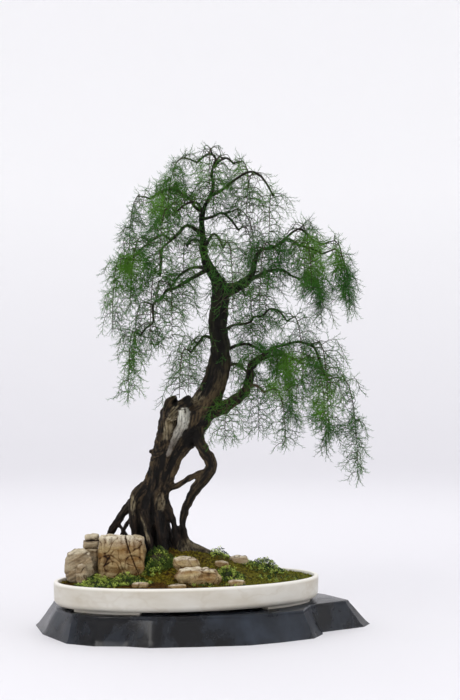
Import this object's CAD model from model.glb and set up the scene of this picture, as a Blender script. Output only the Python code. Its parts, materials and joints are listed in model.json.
"""A weeping tamarisk bonsai in an oval marble tray, on a black lacquered stand.

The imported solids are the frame. Each class below builds one sub-assembly over them in fine
detail, in the same place, and gives it its finish. Tables are in millimetres and in the front
frame, x to the viewer's right and y away from the viewer. Meshes are in metres in the row frame.
"""

import sys

import json
import logging
import math
from dataclasses import dataclass, field
from enum import Enum
from typing import Any, Callable, Sequence

import bmesh
import bpy
import numpy as np
from mathutils import Matrix, Vector, kdtree, noise

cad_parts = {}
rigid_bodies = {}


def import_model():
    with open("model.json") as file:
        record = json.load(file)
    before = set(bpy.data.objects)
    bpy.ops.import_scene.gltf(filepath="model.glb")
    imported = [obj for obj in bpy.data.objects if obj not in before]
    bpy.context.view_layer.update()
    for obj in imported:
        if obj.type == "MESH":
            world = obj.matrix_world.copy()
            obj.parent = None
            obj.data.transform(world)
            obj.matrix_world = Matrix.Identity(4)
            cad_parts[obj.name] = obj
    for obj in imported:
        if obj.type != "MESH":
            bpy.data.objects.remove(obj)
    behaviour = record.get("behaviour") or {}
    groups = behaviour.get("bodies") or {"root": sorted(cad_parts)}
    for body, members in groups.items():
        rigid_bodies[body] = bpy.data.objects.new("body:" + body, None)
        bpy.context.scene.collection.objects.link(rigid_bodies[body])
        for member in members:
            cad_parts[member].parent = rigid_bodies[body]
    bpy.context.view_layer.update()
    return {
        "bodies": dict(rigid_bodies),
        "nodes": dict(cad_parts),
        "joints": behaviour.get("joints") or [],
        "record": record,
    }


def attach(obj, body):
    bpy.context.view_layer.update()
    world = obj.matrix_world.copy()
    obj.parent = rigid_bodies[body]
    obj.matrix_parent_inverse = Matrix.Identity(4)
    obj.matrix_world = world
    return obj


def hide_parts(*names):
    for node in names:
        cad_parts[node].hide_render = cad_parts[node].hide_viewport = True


log = logging.getLogger("bonsai")

MM = 0.001
FRONT_TURN = math.radians(16)
FRONT_COS, FRONT_SIN = math.cos(FRONT_TURN), math.sin(FRONT_TURN)
UP = Vector((0, 0, 1))
GOLDEN_TURN = 2.39996
NOISE_SEED = 11

Row = tuple[float, ...]
Pair = tuple[float, float]
Colour = tuple[float, float, float, float]
Material = bpy.types.Material
Mesh = bpy.types.Mesh
BMesh = bmesh.types.BMesh
NodeTree = bpy.types.NodeTree
Socket = bpy.types.NodeSocket

# Sizes of the stand, the tray and the soil, as the solids have them
STAND_HEIGHT = 54.0
TRAY_LENGTH = 540.0
TRAY_WIDTH = 320.0
TRAY_TOP = 106.0
TRAY_UNDERSIDE = 59.6
TRAY_WALL = 10.0
TRAY_FLOOR = 9.0
TRAY_RADIUS = TRAY_LENGTH / 2
SEAT_GAP = 0.3
# How far in from the tray's edge a ring keeps the same distance from it all round
EVEN_BAND = 60.0
SOIL_EDGE = 100.0
SOIL_SWELL = 2.0

# The slab's corners in the row frame: x and y at its foot, then x and y at its top
STAND_CORNERS: list[Row] = [
    (-283, 144, -250, 112), (-288, 30, -262, 12), (-262, -86, -246, -66),
    (-217, -128, -207, -112), (-160, -146, -150, -132), (-119, -175, -108, -150),
    (-26, -190, -24, -160), (69, -200, 66, -170), (135, -187, 128, -165), (211, -162, 193, -150),
    (243, -121, 214, -108), (250, -99, 228, -89), (352, -62, 313, -56), (377, -28, 323, -44),
    (346, 62, 304, 42), (300, 122, 268, 98), (205, 172, 190, 148), (90, 186, 84, 162),
    (-20, 204, -18, 174), (-120, 186, -112, 162), (-225, 180, -205, 154),
]
# The soil's mounds: x, y, height, reach across and reach away
MOUNDS: list[Row] = [
    (-60, 45, 36, 95, 80), (50, 50, 34, 130, 82), (-190, -10, 10, 60, 50), (-55, -16, 12, 42, 36),
]

# The limbs from root to tip: x, y, z and radius
TRUNK_LIMBS: dict[str, list[Row]] = {
    "leftStrand": [
        (-84, 46, 134, 27), (-84, 44, 199, 22), (-78, 42, 256, 20), (-62, 40, 309, 20.5),
        (-53, 38, 358, 20), (-43, 36, 402, 21), (-37, 36, 435, 19), (-31, 38, 457, 13),
    ],
    "mainStem": [
        (-48, 44, 130, 26), (-56, 46, 195, 20), (-60, 46, 256, 20), (-47, 44, 309, 19),
        (-31, 42, 347, 19.5), (-8, 38, 386, 25), (15, 36, 423, 29), (35, 36, 455, 27),
        (54, 36, 487, 24), (64, 38, 524, 22), (64, 40, 570, 18.5), (58, 40, 611, 18),
        (62, 40, 661, 18.4), (60, 41, 694, 14), (49, 42, 716, 11.6), (38, 42, 736, 9.8),
        (31, 42, 757, 8), (30, 40, 787, 6.8), (27, 38, 815, 5.8), (31, 36, 845, 4.8),
        (42, 35, 868, 4.3), (50, 35, 890, 3.9), (47, 35, 914, 3.4), (50, 35, 934, 2.9),
    ],
    "backStrand": [
        (-66, 66, 132, 25), (-72, 64, 197, 20), (-69, 60, 259, 20), (-54, 58, 312, 20),
        (-38, 56, 357, 20), (-14, 52, 397, 22), (13, 48, 434, 20), (35, 44, 463, 15),
    ],
}
STEM_AND_ROOTS: dict[str, list[Row]] = {
    "propStem": [
        (15, 34, 398, 15), (26, 26, 366, 12.5), (42, 20, 341, 12), (47, 17, 325, 12.5),
        (37, 17, 308, 12), (22, 20, 290, 11.4), (9, 24, 272, 10.6), (-1, 27, 251, 9.4),
        (-9, 30, 228, 7.4), (-12, 32, 205, 7), (-5, 34, 181, 7.4), (4, 37, 150, 8.6),
        (10, 40, 124, 9),
    ],
    "crossRoot": [
        (38, 17, 315, 6.8), (18, 20, 310, 6), (-5, 26, 298, 5.6), (-25, 34, 285, 6),
        (-46, 42, 276, 6),
    ],
    "stub": [(-60, 36, 354, 6), (-79, 28, 356, 4.6)],
    "farLeftRoot": [
        (-92, 50, 270, 10.2), (-117, 58, 247, 9.8), (-142, 66, 215, 8.6), (-163, 72, 180, 7.4),
        (-178, 78, 128, 7),
    ],
    "knobRoot": [
        (-88, 40, 288, 9), (-103, 35, 272, 11.5), (-112, 33, 250, 9.5), (-112, 32, 218, 8),
        (-107, 33, 186, 8), (-100, 38, 130, 8.6),
    ],
    "tangleRoot": [
        (-110, 34, 232, 4.8), (-122, 42, 212, 4.6), (-134, 52, 190, 4.4), (-140, 58, 160, 4.4),
        (-140, 60, 128, 4.6),
    ],
    "crossingRoot": [
        (-146, 66, 206, 4.6), (-134, 56, 194, 4), (-121, 44, 176, 4.4), (-114, 34, 140, 4.8),
    ],
    "thinRoot": [(-93, 26, 234, 6), (-87, 14, 207, 5.6), (-77, 4, 180, 5.6), (-68, -4, 132, 6)],
    "frontRoot": [(-60, 28, 236, 11), (-56, 16, 200, 10), (-50, 12, 166, 9.4), (-46, 8, 122, 10)],
    "rightRoot": [
        (-48, 42, 252, 10), (-36, 38, 226, 8), (-29, 36, 205, 7), (-25, 35, 184, 9),
        (-17, 36, 156, 12), (-4, 40, 122, 13),
    ],
    "surfaceRoot": [
        (-6, 40, 172, 9), (7, 44, 161, 9.2), (25, 46, 155, 8.8), (43, 48, 145, 8),
        (62, 50, 118, 7.2),
    ],
    "backRootLeft": [
        (-79, 72, 213, 12.3), (-99, 86, 178, 11), (-112, 94, 147, 10.2), (-122, 98, 110, 9.5),
    ],
    "backRootRight": [
        (-58, 74, 213, 12), (-48, 92, 180, 11), (-30, 106, 150, 10.2), (-12, 114, 112, 9.5),
    ],
    "deadwood": [
        (-10, 16, 447, 6.5), (-9, 12, 436, 11.5), (-10, 11, 420, 12.5), (-17, 13, 401, 10),
        (-27, 17, 381, 7.6), (-35, 21, 365, 5.8), (-42, 25, 350, 4.2),
    ],
    "hollowLip": [
        (-24, 28, 463, 6), (-37, 20, 459, 6.8), (-45, 18, 441, 6.8), (-45, 18, 411, 6),
        (-42, 20, 379, 4.8),
    ],
}
BOUGHS: dict[str, list[Row]] = {
    "rightBough": [
        (62, 40, 667, 13), (86, 34, 681, 11.5), (110, 26, 693, 10.4), (124, 20, 707, 8.6),
        (132, 14, 729, 6.2), (138, 8, 750, 4.4), (150, 2, 762, 3.4), (166, -6, 762, 2.9),
        (182, -14, 771, 2.7), (199, -22, 781, 2.5), (221, -28, 768, 2.3), (242, -34, 762, 2.1),
        (266, -38, 750, 2),
    ],
    "rightBackBough": [
        (124, 22, 703, 5), (141, 40, 710, 4), (157, 60, 719, 3.3), (176, 78, 724, 2.8),
        (195, 94, 723, 2.5), (212, 108, 713, 2.2), (229, 120, 707, 2),
    ],
    "rightArch": [
        (182, -14, 771, 2.6), (198, 0, 786, 2.4), (213, 14, 799, 2.3), (225, 24, 804, 2.2),
        (238, 34, 796, 2.1), (252, 44, 783, 2), (273, 54, 775, 1.9),
    ],
    "upperRight": [
        (42, 35, 869, 3.6), (68, 28, 883, 3), (96, 18, 904, 2.6), (122, 8, 917, 2.4),
        (140, -2, 912, 2.2), (156, -10, 893, 2.1), (170, -16, 867, 2),
    ],
    "midRightBack": [
        (31, 40, 825, 3.2), (51, 55, 832, 2.8), (68, 72, 840, 2.5), (86, 90, 827, 2.3),
        (101, 104, 808, 2.1),
    ],
    "leftUpper": [
        (29, 40, 839, 4), (13, 44, 850, 3.4), (3, 48, 866, 3), (-9, 52, 875, 2.7),
        (-22, 56, 883, 2.5), (-36, 60, 888, 2.3), (-59, 66, 882, 2.2), (-79, 72, 869, 2),
    ],
    "leftMid": [
        (29, 40, 791, 4.6), (11, 30, 806, 3.8), (-5, 20, 810, 3.3), (-20, 10, 793, 3),
        (-36, 2, 778, 2.8), (-52, -6, 762, 2.5), (-53, -14, 735, 2.3), (-55, -20, 707, 2.1),
    ],
    "leftMidFork": [
        (-34, 3, 780, 2.6), (-50, -2, 790, 2.4), (-62, -8, 785, 2.3), (-77, -14, 773, 2.2),
        (-95, -20, 759, 2.1), (-113, -24, 737, 2),
    ],
    "leftLow": [
        (39, 42, 724, 5), (15, 30, 709, 3.9), (-9, 18, 695, 3.4), (-26, 6, 684, 3),
        (-44, -4, 678, 2.8), (-53, -12, 662, 2.6), (-67, -20, 653, 2.4), (-69, -28, 635, 2.3),
        (-68, -34, 615, 2.2), (-82, -40, 603, 2.1), (-92, -44, 590, 2),
    ],
    "leftSmall": [(46, 36, 584, 3.4), (32, 24, 588, 2.8), (20, 14, 574, 2.4), (6, 6, 556, 2.1)],
    "lowerRight": [
        (48, 36, 439, 18), (76, 28, 447, 14), (94, 22, 459, 12), (110, 16, 472, 10.6),
        (120, 10, 492, 9.6), (124, 6, 516, 8.4), (126, 2, 534, 6.6), (138, -4, 542, 5),
        (156, -12, 554, 3.9), (169, -20, 564, 3.2), (191, -28, 570, 2.8), (217, -36, 576, 2.5),
        (236, -42, 572, 2.3), (250, -48, 564, 2.2), (258, -52, 546, 2.2), (266, -56, 524, 2.1),
        (273, -60, 500, 2),
    ],
    "lowerRightBack": [
        (124, 6, 520, 5.2), (142, 24, 538, 4.2), (165, 42, 548, 3.4), (188, 60, 550, 2.8),
        (211, 78, 544, 2.4), (234, 94, 531, 2.1),
    ],
    "loopBough": [
        (64, 40, 544, 4.6), (82, 46, 562, 3.8), (100, 54, 570, 3.2), (119, 60, 572, 2.8),
        (139, 64, 564, 2.5), (153, 68, 552, 2.2),
    ],
    "midRight": [
        (68, 38, 596, 3.4), (90, 30, 610, 2.8), (106, 22, 612, 2.6), (124, 12, 616, 2.4),
        (132, 4, 626, 2.3), (148, -6, 628, 2.2), (164, -16, 642, 2.1), (181, -26, 637, 2),
        (197, -34, 617, 1.9),
    ],
    "apexBough": [
        (50, 35, 932, 2.8), (55, 30, 946, 2.5), (46, 24, 955, 2.3), (33, 16, 950, 2.1),
        (18, 8, 936, 2),
    ],
    "apexRight": [(50, 35, 928, 2.6), (64, 44, 944, 2.4), (78, 54, 950, 2.2), (91, 63, 940, 2)],
    "backUpper": [
        (37, 44, 759, 4), (29, 70, 776, 3.4), (18, 96, 786, 3), (5, 120, 788, 2.6),
        (-6, 142, 777, 2.3),
    ],
    "backRight": [
        (62, 44, 678, 4.6), (76, 76, 691, 3.8), (88, 104, 696, 3.2), (105, 130, 689, 2.7),
        (117, 150, 673, 2.3),
    ],
    "frontUpper": [
        (35, 38, 770, 3.6), (44, 10, 785, 3.1), (52, -14, 791, 2.7), (62, -38, 781, 2.4),
        (70, -60, 762, 2.2),
    ],
    "backLow": [
        (66, 42, 511, 4.8), (80, 72, 527, 4), (96, 98, 531, 3.3), (111, 122, 523, 2.8),
        (126, 142, 504, 2.4),
    ],
    "frontLow": [
        (112, 14, 474, 4.2), (124, -10, 488, 3.5), (137, -32, 489, 3), (151, -52, 477, 2.5),
    ],
    "leftBack": [
        (45, 44, 716, 4.2), (27, 72, 728, 3.5), (6, 94, 729, 3), (-15, 114, 719, 2.6),
        (-32, 130, 703, 2.2),
    ],
    "leftFront": [
        (29, 36, 839, 3.2), (20, 12, 853, 2.8), (8, -10, 855, 2.5), (-7, -30, 847, 2.3),
        (-22, -46, 832, 2.1),
    ],
}

# Hanging sprays: bough, place along it, heading in degrees, reach and drop
SPRAYS: list[tuple[str, float, float, float, float]] = [
    ("rightBough", 1, -12, 42, 122), ("rightBough", 0.84, -70, 48, 112),
    ("rightBough", 0.6, -115, 52, 130), ("rightArch", 1, 20, 38, 126),
    ("rightArch", 0.5, 75, 54, 120), ("rightBackBough", 1, 35, 44, 95),
    ("rightBackBough", 0.6, 120, 48, 130), ("upperRight", 1, 100, 28, 104),
    ("upperRight", 0.7, 120, 42, 118), ("midRightBack", 1, 60, 50, 130),
    ("midRightBack", 0.55, -15, 54, 112), ("apexBough", 1, 195, 48, 116),
    ("apexBough", 0.45, 265, 52, 112), ("apexRight", 1, 30, 26, 104),
    ("apexRight", 0.5, 110, 52, 118), ("leftUpper", 1, 175, 32, 150),
    ("leftUpper", 0.6, 110, 50, 140), ("leftMidFork", 1, 190, 24, 150),
    ("leftMidFork", 0.55, 222, 40, 146), ("leftMid", 1, 250, 38, 142),
    ("leftLow", 1, 210, 14, 132), ("leftLow", 0.62, 165, 30, 136),
    ("leftLow", 0.35, 275, 44, 112), ("leftBack", 1, 140, 52, 160),
    ("backUpper", 1, 100, 48, 150), ("leftFront", 1, 240, 50, 132),
    ("leftSmall", 1, 235, 26, 96), ("leftSmall", 0.7, 110, 44, 104),
    ("frontUpper", 1, 290, 46, 144), ("backRight", 1, 75, 46, 150),
    ("midRight", 1, -60, 46, 172), ("loopBough", 1, 28, 50, 146),
    ("lowerRight", 1, -12, 50, 200), ("lowerRight", 0.78, -60, 52, 186),
    ("lowerRight", 0.11, 250, 34, 84), ("lowerRightBack", 0.9, 10, 48, 196),
    ("backLow", 1, 70, 42, 124), ("backLow", 0.45, 165, 46, 112),
    ("frontLow", 1, 320, 42, 112),
]
# The leading twig's length and rise, and the length of a spray's root
LEAD_LENGTH = 14.0
LEAD_SLOPE = 0.35
ROOT_LENGTH = 8.0
# A stem's line: share of its reach, rise per reach and fall per drop
STEM_BEND = [(0.3, 0.1, 0), (0.56, 0.08, 0.06), (0.78, 0, 0.24), (0.92, 0, 0.56), (1, 0, 1)]
# A side twig's line: how far out and how far down, as shares of its length
TWIG_BEND = [(0.45, 0.1), (0.68, 0.72)]
TWIG_LENGTH = (40, 58)
TWIG_SEED = 100
# The solids' whorls along a stem: how many, each one's height and the share of the stem they take
WHORLS, WHORL_HEIGHT, LEAFY_SHARE = 7, 1.7, 0.9
# The whorls at which a stem forks, and each fork's turn in degrees
FORKS = ((2, 58.0), (4, -62.0))


class Slot(Enum):
    """The record's material slots."""

    LACQUER = "lacquer"
    MARBLE = "marble"
    MOSS = "moss"
    BARK = "bark"
    FOLIAGE = "foliage"
    GROUNDCOVER = "groundcover"
    LIMESTONE = "limestone"
    GREYSTONE = "greystone"


def front_point(x: float, y: float, z: float) -> Vector:
    """A point of the front frame, in millimetres, as a point of the row frame in metres."""
    return Vector((x * FRONT_COS + y * FRONT_SIN, y * FRONT_COS - x * FRONT_SIN, z)) * MM


def to_the_right(point: Vector) -> float:
    """How far to the viewer's right a point of the row frame lies, in millimetres."""
    return (point.x * FRONT_COS - point.y * FRONT_SIN) / MM


def heading(degrees: float, slope: float = 0.0) -> Vector:
    """A direction of the front frame as a direction of the row frame.

    Args:
        degrees: Turn from the viewer's right, seen from above.
        slope: Rise in radians.

    Returns:
        The direction, of length one.
    """
    angle, flat = math.radians(degrees), math.cos(slope)
    return front_point(flat * math.cos(angle), flat * math.sin(angle), math.sin(slope)) / MM


def mix(low: float, high: float, share: float) -> float:
    """The value at a share of the way from low to high."""
    return low + (high - low) * share


def clamped(value: float) -> float:
    """A value kept from 0 to 1."""
    return min(1.0, max(0.0, value))


def smooth_step(low: float, high: float, value: float) -> float:
    """0 below low, 1 above high, and an even rise between."""
    t = clamped((value - low) / (high - low))
    return t * t * (3 - 2 * t)


def oval_share(x: float, y: float) -> float:
    """How far out in the tray's oval a place is: 0 in its middle and 1 at its edge."""
    return math.hypot(x / (TRAY_RADIUS - TRAY_WALL), y / (TRAY_WIDTH / 2 - TRAY_WALL))


def soil_height(x: float, y: float) -> float:
    """Height of the soil at a place of the row frame, all in millimetres."""
    across, away = x * FRONT_COS - y * FRONT_SIN, x * FRONT_SIN + y * FRONT_COS
    swells = sum(
        height * math.exp(-(((across - mx) / wide) ** 2) - ((away - my) / deep) ** 2)
        for mx, my, height, wide, deep in MOUNDS
    )
    return SOIL_EDGE + max(0.0, 1 - oval_share(x, y)**4) * (SOIL_SWELL + swells)


class Draws:
    """Even draws from 0 to 1, the same on each run."""

    def __init__(self, seed: int) -> None:
        """Starts from a seed."""
        self.state = seed

    def next(self) -> float:
        """The next draw."""
        self.state = (self.state * 16807) % 2147483647
        return self.state / 2147483647

    def between(self, low: float, high: float) -> float:
        """The next draw, from low to high."""
        return mix(low, high, self.next())

    def in_round(self) -> Pair:
        """An angle and a distance from the middle, even all over a disc of radius one."""
        return self.next() * math.tau, math.sqrt(self.next())

    def leaning(self) -> Vector:
        """A direction that leans a little from upright, to any side."""
        return Vector((self.between(-0.5, 0.5), self.between(-0.5, 0.5), 1)).normalized()


@dataclass
class Spot:
    """One place on a limb: its centre, its direction, its thickness and its directions across."""

    centre: Vector
    along: Vector
    radius: float
    across: Vector = field(default_factory=lambda: Vector((1, 0, 0)))
    over: Vector = field(default_factory=lambda: Vector((0, 1, 0)))


class Way:
    """A smooth line through points, with a thickness at each, as a limb or a twig grows."""

    STEPS = 8

    def __init__(self, points: Sequence[Vector], radii: Sequence[float]) -> None:
        """Lays the line in even steps from point to point.

        Args:
            points: The points that the line passes through, in metres.
            radii: The radius at each point, in metres.
        """
        ends = [points[0] * 2 - points[1], *points, points[-1] * 2 - points[-2]]
        self.centres: list[Vector] = []
        self.radii: list[float] = []
        for span in range(len(points) - 1):
            last = span == len(points) - 2
            for step in range(self.STEPS + (1 if last else 0)):
                self.centres.append(self._between(ends[span:span + 4], step / self.STEPS))
                self.radii.append(mix(radii[span], radii[span + 1], step / self.STEPS))
        self.runs = [0.0]
        for before, after in zip(self.centres, self.centres[1:]):
            self.runs.append(self.runs[-1] + (after - before).length)

    @classmethod
    def of_rows(cls, rows: Sequence[Row]) -> "Way":
        """The line through rows of x, y, z and radius in the front frame."""
        return cls([front_point(*row[:3]) for row in rows], [row[3] * MM for row in rows])

    @staticmethod
    def _between(four: Sequence[Vector], t: float) -> Vector:
        """A point between the middle two of four points, on a centripetal curve.

        Args:
            four: The points.
            t: Share of the way between the middle two.

        Returns:
            The point.
        """
        p0, p1, p2, p3 = four
        d0, d1, d2 = (
            math.sqrt(max((b - a).length, 1e-9)) for a, b in ((p0, p1), (p1, p2), (p2, p3))
        )
        start = ((p1 - p0) / d0 - (p2 - p0) / (d0 + d1) + (p2 - p1) / d1) * d1
        end = ((p2 - p1) / d1 - (p3 - p1) / (d1 + d2) + (p3 - p2) / d2) * d1
        square = (p2 - p1) * 3 - start * 2 - end
        cube = (p1 - p2) * 2 + start + end
        return p1 + start * t + square * t * t + cube * t**3

    @property
    def length(self) -> float:
        """The line's length."""
        return self.runs[-1]

    def share_thinner(self, radius: float) -> float:
        """The share of the length past which the limb is thinner than a radius."""
        for run, thickness in zip(self.runs, self.radii):
            if thickness < radius:
                return run / self.length
        return 1.0

    def at(self, share: float) -> Spot:
        """The place at a share of the length.

        Args:
            share: The share.

        Returns:
            The place, with its directions across left plain.
        """
        run = clamped(share) * self.length
        after = min(max(1, int(np.searchsorted(self.runs, run))), len(self.runs) - 1)
        before = after - 1
        t = (run - self.runs[before]) / max(self.runs[after] - self.runs[before], 1e-9)
        a, b = self.centres[before], self.centres[after]
        radius = mix(self.radii[before], self.radii[after], t)
        return Spot(a.lerp(b, t), (b - a).normalized(), radius)

    def spots(self, count: int, start: float = 0.0, end: float = 1.0) -> list[Spot]:
        """Even places from one share of the length to another, with frames that turn little.

        Args:
            count: How many places.
            start: Share of the length at the first.
            end: Share of the length at the last.

        Returns:
            The places in order.
        """
        found = [self.at(mix(start, end, i / (count - 1))) for i in range(count)]
        side = Vector((0, 1, 0)).cross(found[0].along)
        if side.length < 0.1:
            side = Vector((1, 0, 0))
        for i, spot in enumerate(found):
            if 0 < i < count - 1:
                spot.along = (found[i + 1].centre - found[i - 1].centre).normalized()
            side = (side - spot.along * side.dot(spot.along)).normalized()
            spot.across, spot.over = side.copy(), side.cross(spot.along)
        return found


Swell = Callable[[float, float], float]


def plain_swell(turn: float, run: float) -> float:
    """A limb that is plainly round."""
    return 1.0


def add_limb(
    target: BMesh, spots: Sequence[Spot], sides: int, swell: Swell = plain_swell, material: int = 0
) -> None:
    """Adds a closed limb to a mesh.

    Args:
        target: The mesh that it is added to.
        spots: Its rings' places.
        sides: Corners of a ring.
        swell: Factor on the radius, from the turn round the limb and the run along it in metres.
        material: Index of its material.
    """
    rings = len(spots) - 1
    bm = bmesh.new()
    bmesh.ops.create_cone(bm, segments=sides, radius1=1, radius2=1, depth=1, cap_ends=True)
    upright = [e for e in bm.edges if abs(e.verts[0].co.z - e.verts[1].co.z) > 0.5]
    if rings > 1:
        bmesh.ops.subdivide_edges(bm, edges=upright, cuts=rings - 1, use_grid_fill=True)
    runs = [0.0]
    for before, after in zip(spots, spots[1:]):
        runs.append(runs[-1] + (after.centre - before.centre).length)
    for v in bm.verts:
        ring = round((v.co.z + 0.5) * rings)
        spot, turn = spots[ring], math.atan2(v.co.y, v.co.x)
        radius = spot.radius * swell(turn, runs[ring])
        v.co = (spot.centre + spot.across * (math.cos(turn) * radius)
                + spot.over * (math.sin(turn) * radius))
    for face in bm.faces:
        face.material_index = material
    bmesh.ops.recalc_face_normals(bm, faces=bm.faces)
    pour(bm, target)


def pour(bm: BMesh, target: BMesh) -> None:
    """Adds one mesh to another and frees it."""
    mesh = bpy.data.meshes.new("part")
    bm.to_mesh(mesh)
    bm.free()
    target.from_mesh(mesh)
    bpy.data.meshes.remove(mesh)


def set_up(name: str, data: Any) -> bpy.types.Object:
    """A new object in the scene for a mesh, a light or a camera."""
    made = bpy.data.objects.new(name, data)
    bpy.context.scene.collection.objects.link(made)
    return made


def remeshed(mesh: Mesh, voxel: float, smoothing: int) -> Mesh:
    """A mesh's closed outside, remade in even faces.

    Args:
        mesh: The mesh, which is removed.
        voxel: Size of a face.
        smoothing: Rounds of smoothing.

    Returns:
        The new mesh.
    """
    carrier = set_up("remake", mesh)
    voxels = carrier.modifiers.new("voxels", "REMESH")
    voxels.mode, voxels.voxel_size = "VOXEL", voxel
    even = carrier.modifiers.new("even", "SMOOTH")
    even.factor, even.iterations = 0.5, smoothing
    graph = bpy.context.evaluated_depsgraph_get()
    made = bpy.data.meshes.new_from_object(carrier.evaluated_get(graph))
    bpy.data.objects.remove(carrier)
    bpy.data.meshes.remove(mesh)
    return made


def piece_of(
    name: str,
    mesh: Mesh,
    materials: Sequence[Material],
    replaced: Sequence[str] = (),
    sharp: float | None = None,
) -> None:
    """Makes a mesh a piece of the object, on the root body.

    Args:
        name: The piece's name.
        mesh: Its mesh, in the row frame.
        materials: Its materials, in the order of the faces' indices.
        replaced: The solids that it stands for.
        sharp: Angle in degrees past which an edge stays sharp, or None for none.
    """
    mesh.name = name
    for material in materials:
        mesh.materials.append(material)
    mesh.polygons.foreach_set("use_smooth", [True] * len(mesh.polygons))
    if sharp is not None:
        mesh.set_sharp_from_angle(angle=math.radians(sharp))
    piece = set_up(name, mesh)
    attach(piece, "root")
    if replaced:
        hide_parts(*replaced)
    mesh.calc_loop_triangles()
    log.info("%s: %d triangles", name, len(mesh.loop_triangles))


def mesh_of(bm: BMesh) -> Mesh:
    """The finished mesh of a bmesh, which is freed."""
    mesh = bpy.data.meshes.new("piece")
    bm.to_mesh(mesh)
    bm.free()
    return mesh


class Stamp:
    """A small closed shape that is set down many times. Its root is at zero and it grows to +Y."""

    def __init__(self, bm: BMesh) -> None:
        """Takes over a shape and keeps its corners' places."""
        self.mesh = mesh_of(bm)
        corners = np.empty(len(self.mesh.vertices) * 3)
        self.mesh.vertices.foreach_get("co", corners)
        self.corners = corners.reshape(-1, 3)

    @classmethod
    def of_upright(cls, bm: BMesh) -> "Stamp":
        """The stamp of a shape that was built to grow to +Z."""
        bmesh.ops.rotate(bm, cent=(0, 0, 0), matrix=Matrix.Rotation(-math.pi / 2, 3, "X"),
                         verts=bm.verts)
        return cls(bm)

    def place(self, target: BMesh, foot: Vector, way: Vector, size: float) -> None:
        """Sets one down.

        Args:
            target: The mesh that it is added to.
            foot: Where its root is.
            way: The direction that it grows in, of length one.
            size: Factor on its size.
        """
        side = way.cross(UP)
        side = side.normalized() if side.length > 0.05 else Vector((1, 0, 0))
        frame = np.array([side, way, side.cross(way)])
        self.mesh.vertices.foreach_set("co", (self.corners @ frame * size + foot[:]).ravel())
        target.from_mesh(self.mesh, face_normals=False, vertex_normals=False)

    def drop(self) -> None:
        """Removes the shape once all are set down."""
        bpy.data.meshes.remove(self.mesh)


def add_spike(bm: BMesh, radius: float, length: float, frame: Matrix) -> None:
    """Adds a fine three-sided spike with its middle in a frame and its point to the frame's Z."""
    bmesh.ops.create_cone(bm, segments=3, radius1=radius, radius2=0.0, depth=length,
                          cap_ends=False, matrix=frame)


def tree_of(places: dict[int, Vector]) -> kdtree.KDTree:
    """A search tree over numbered places."""
    tree = kdtree.KDTree(len(places))
    for number, place in places.items():
        tree.insert(place, number)
    tree.balance()
    return tree


def linear(code: str) -> Colour:
    """A colour written as six hex digits, in the shader's linear values."""
    parts = [int(code[i:i + 2], 16) / 255 for i in (0, 2, 4)]
    red, green, blue = (p / 12.92 if p < 0.04045 else ((p + 0.055) / 1.055) ** 2.4 for p in parts)
    return red, green, blue, 1.0


def fill(tree: NodeTree, node: bpy.types.Node, inputs: dict[str | int, Any]) -> None:
    """Gives a node's inputs their values.

    Args:
        tree: The node's tree.
        node: The node.
        inputs: A socket, a number or a colour in hex digits for each input, by name or place.
    """
    for key, value in inputs.items():
        if isinstance(value, Socket):
            tree.links.new(value, node.inputs[key])
        else:
            node.inputs[key].default_value = linear(value) if isinstance(value, str) else value


def add_node(
    tree: NodeTree,
    kind: str,
    inputs: dict[str | int, Any] | None = None,
    **settings: Any,
) -> bpy.types.Node:
    """Adds a shader node.

    Args:
        tree: The tree that it is added to.
        kind: Its type, without ShaderNode.
        inputs: What its inputs are filled with.
        settings: Its other settings.

    Returns:
        The node.
    """
    made = tree.nodes.new("ShaderNode" + kind)
    for key, value in settings.items():
        setattr(made, key, value)
    fill(tree, made, inputs or {})
    return made


def blended(tree: NodeTree, share: Any, first: Any, second: Any, way: str) -> Socket:
    """Two colours blended by a share of the second, in one of Blender's ways."""
    node = add_node(tree, "Mix", {0: share, 6: first, 7: second}, data_type="RGBA", blend_type=way)
    return node.outputs[2]


class Effect:
    """A node group that several finishes share, under construction."""

    def __init__(self, name: str, inputs: dict[str, str], outputs: dict[str, str]) -> None:
        """Starts a group.

        Args:
            name: Its name.
            inputs: Socket type of each input by name, without NodeSocket.
            outputs: Socket type of each output by name.
        """
        self.group = bpy.data.node_groups.new(name, "ShaderNodeTree")
        for way, sockets in (("INPUT", inputs), ("OUTPUT", outputs)):
            for socket, kind in sockets.items():
                self.group.interface.new_socket(
                    socket, in_out=way, socket_type="NodeSocket" + kind)
        self.given = self.group.nodes.new("NodeGroupInput").outputs
        self.out = self.group.nodes.new("NodeGroupOutput")

    def grain(self, detail: float, roughness: float) -> Socket:
        """Noise over the object's own coordinates, by the group's scale and stretch."""
        place = add_node(self.group, "TexCoord").outputs["Object"]
        stretched = add_node(self.group, "VectorMath", {0: place, 1: self.given["Stretch"]},
                             operation="MULTIPLY").outputs[0]
        return add_node(self.group, "TexNoise", {
            "Vector": stretched, "Scale": self.given["Scale"], "Detail": detail,
            "Roughness": roughness}).outputs[0]

    def tell_apart(self, value: Socket, first: str, second: str) -> None:
        """Gives out two of the group's colours, blended by a value from its low to its high."""
        mask = add_node(self.group, "MapRange", {0: value, 1: self.given["Low"],
                                                 2: self.given["High"]}).outputs[0]
        colour = blended(self.group, mask, self.given[first], self.given[second], "MIX")
        fill(self.group, self.out, {"Color": colour, "Mask": mask})


TWO_TONES = {"Color": "Color", "Mask": "Float"}


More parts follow.
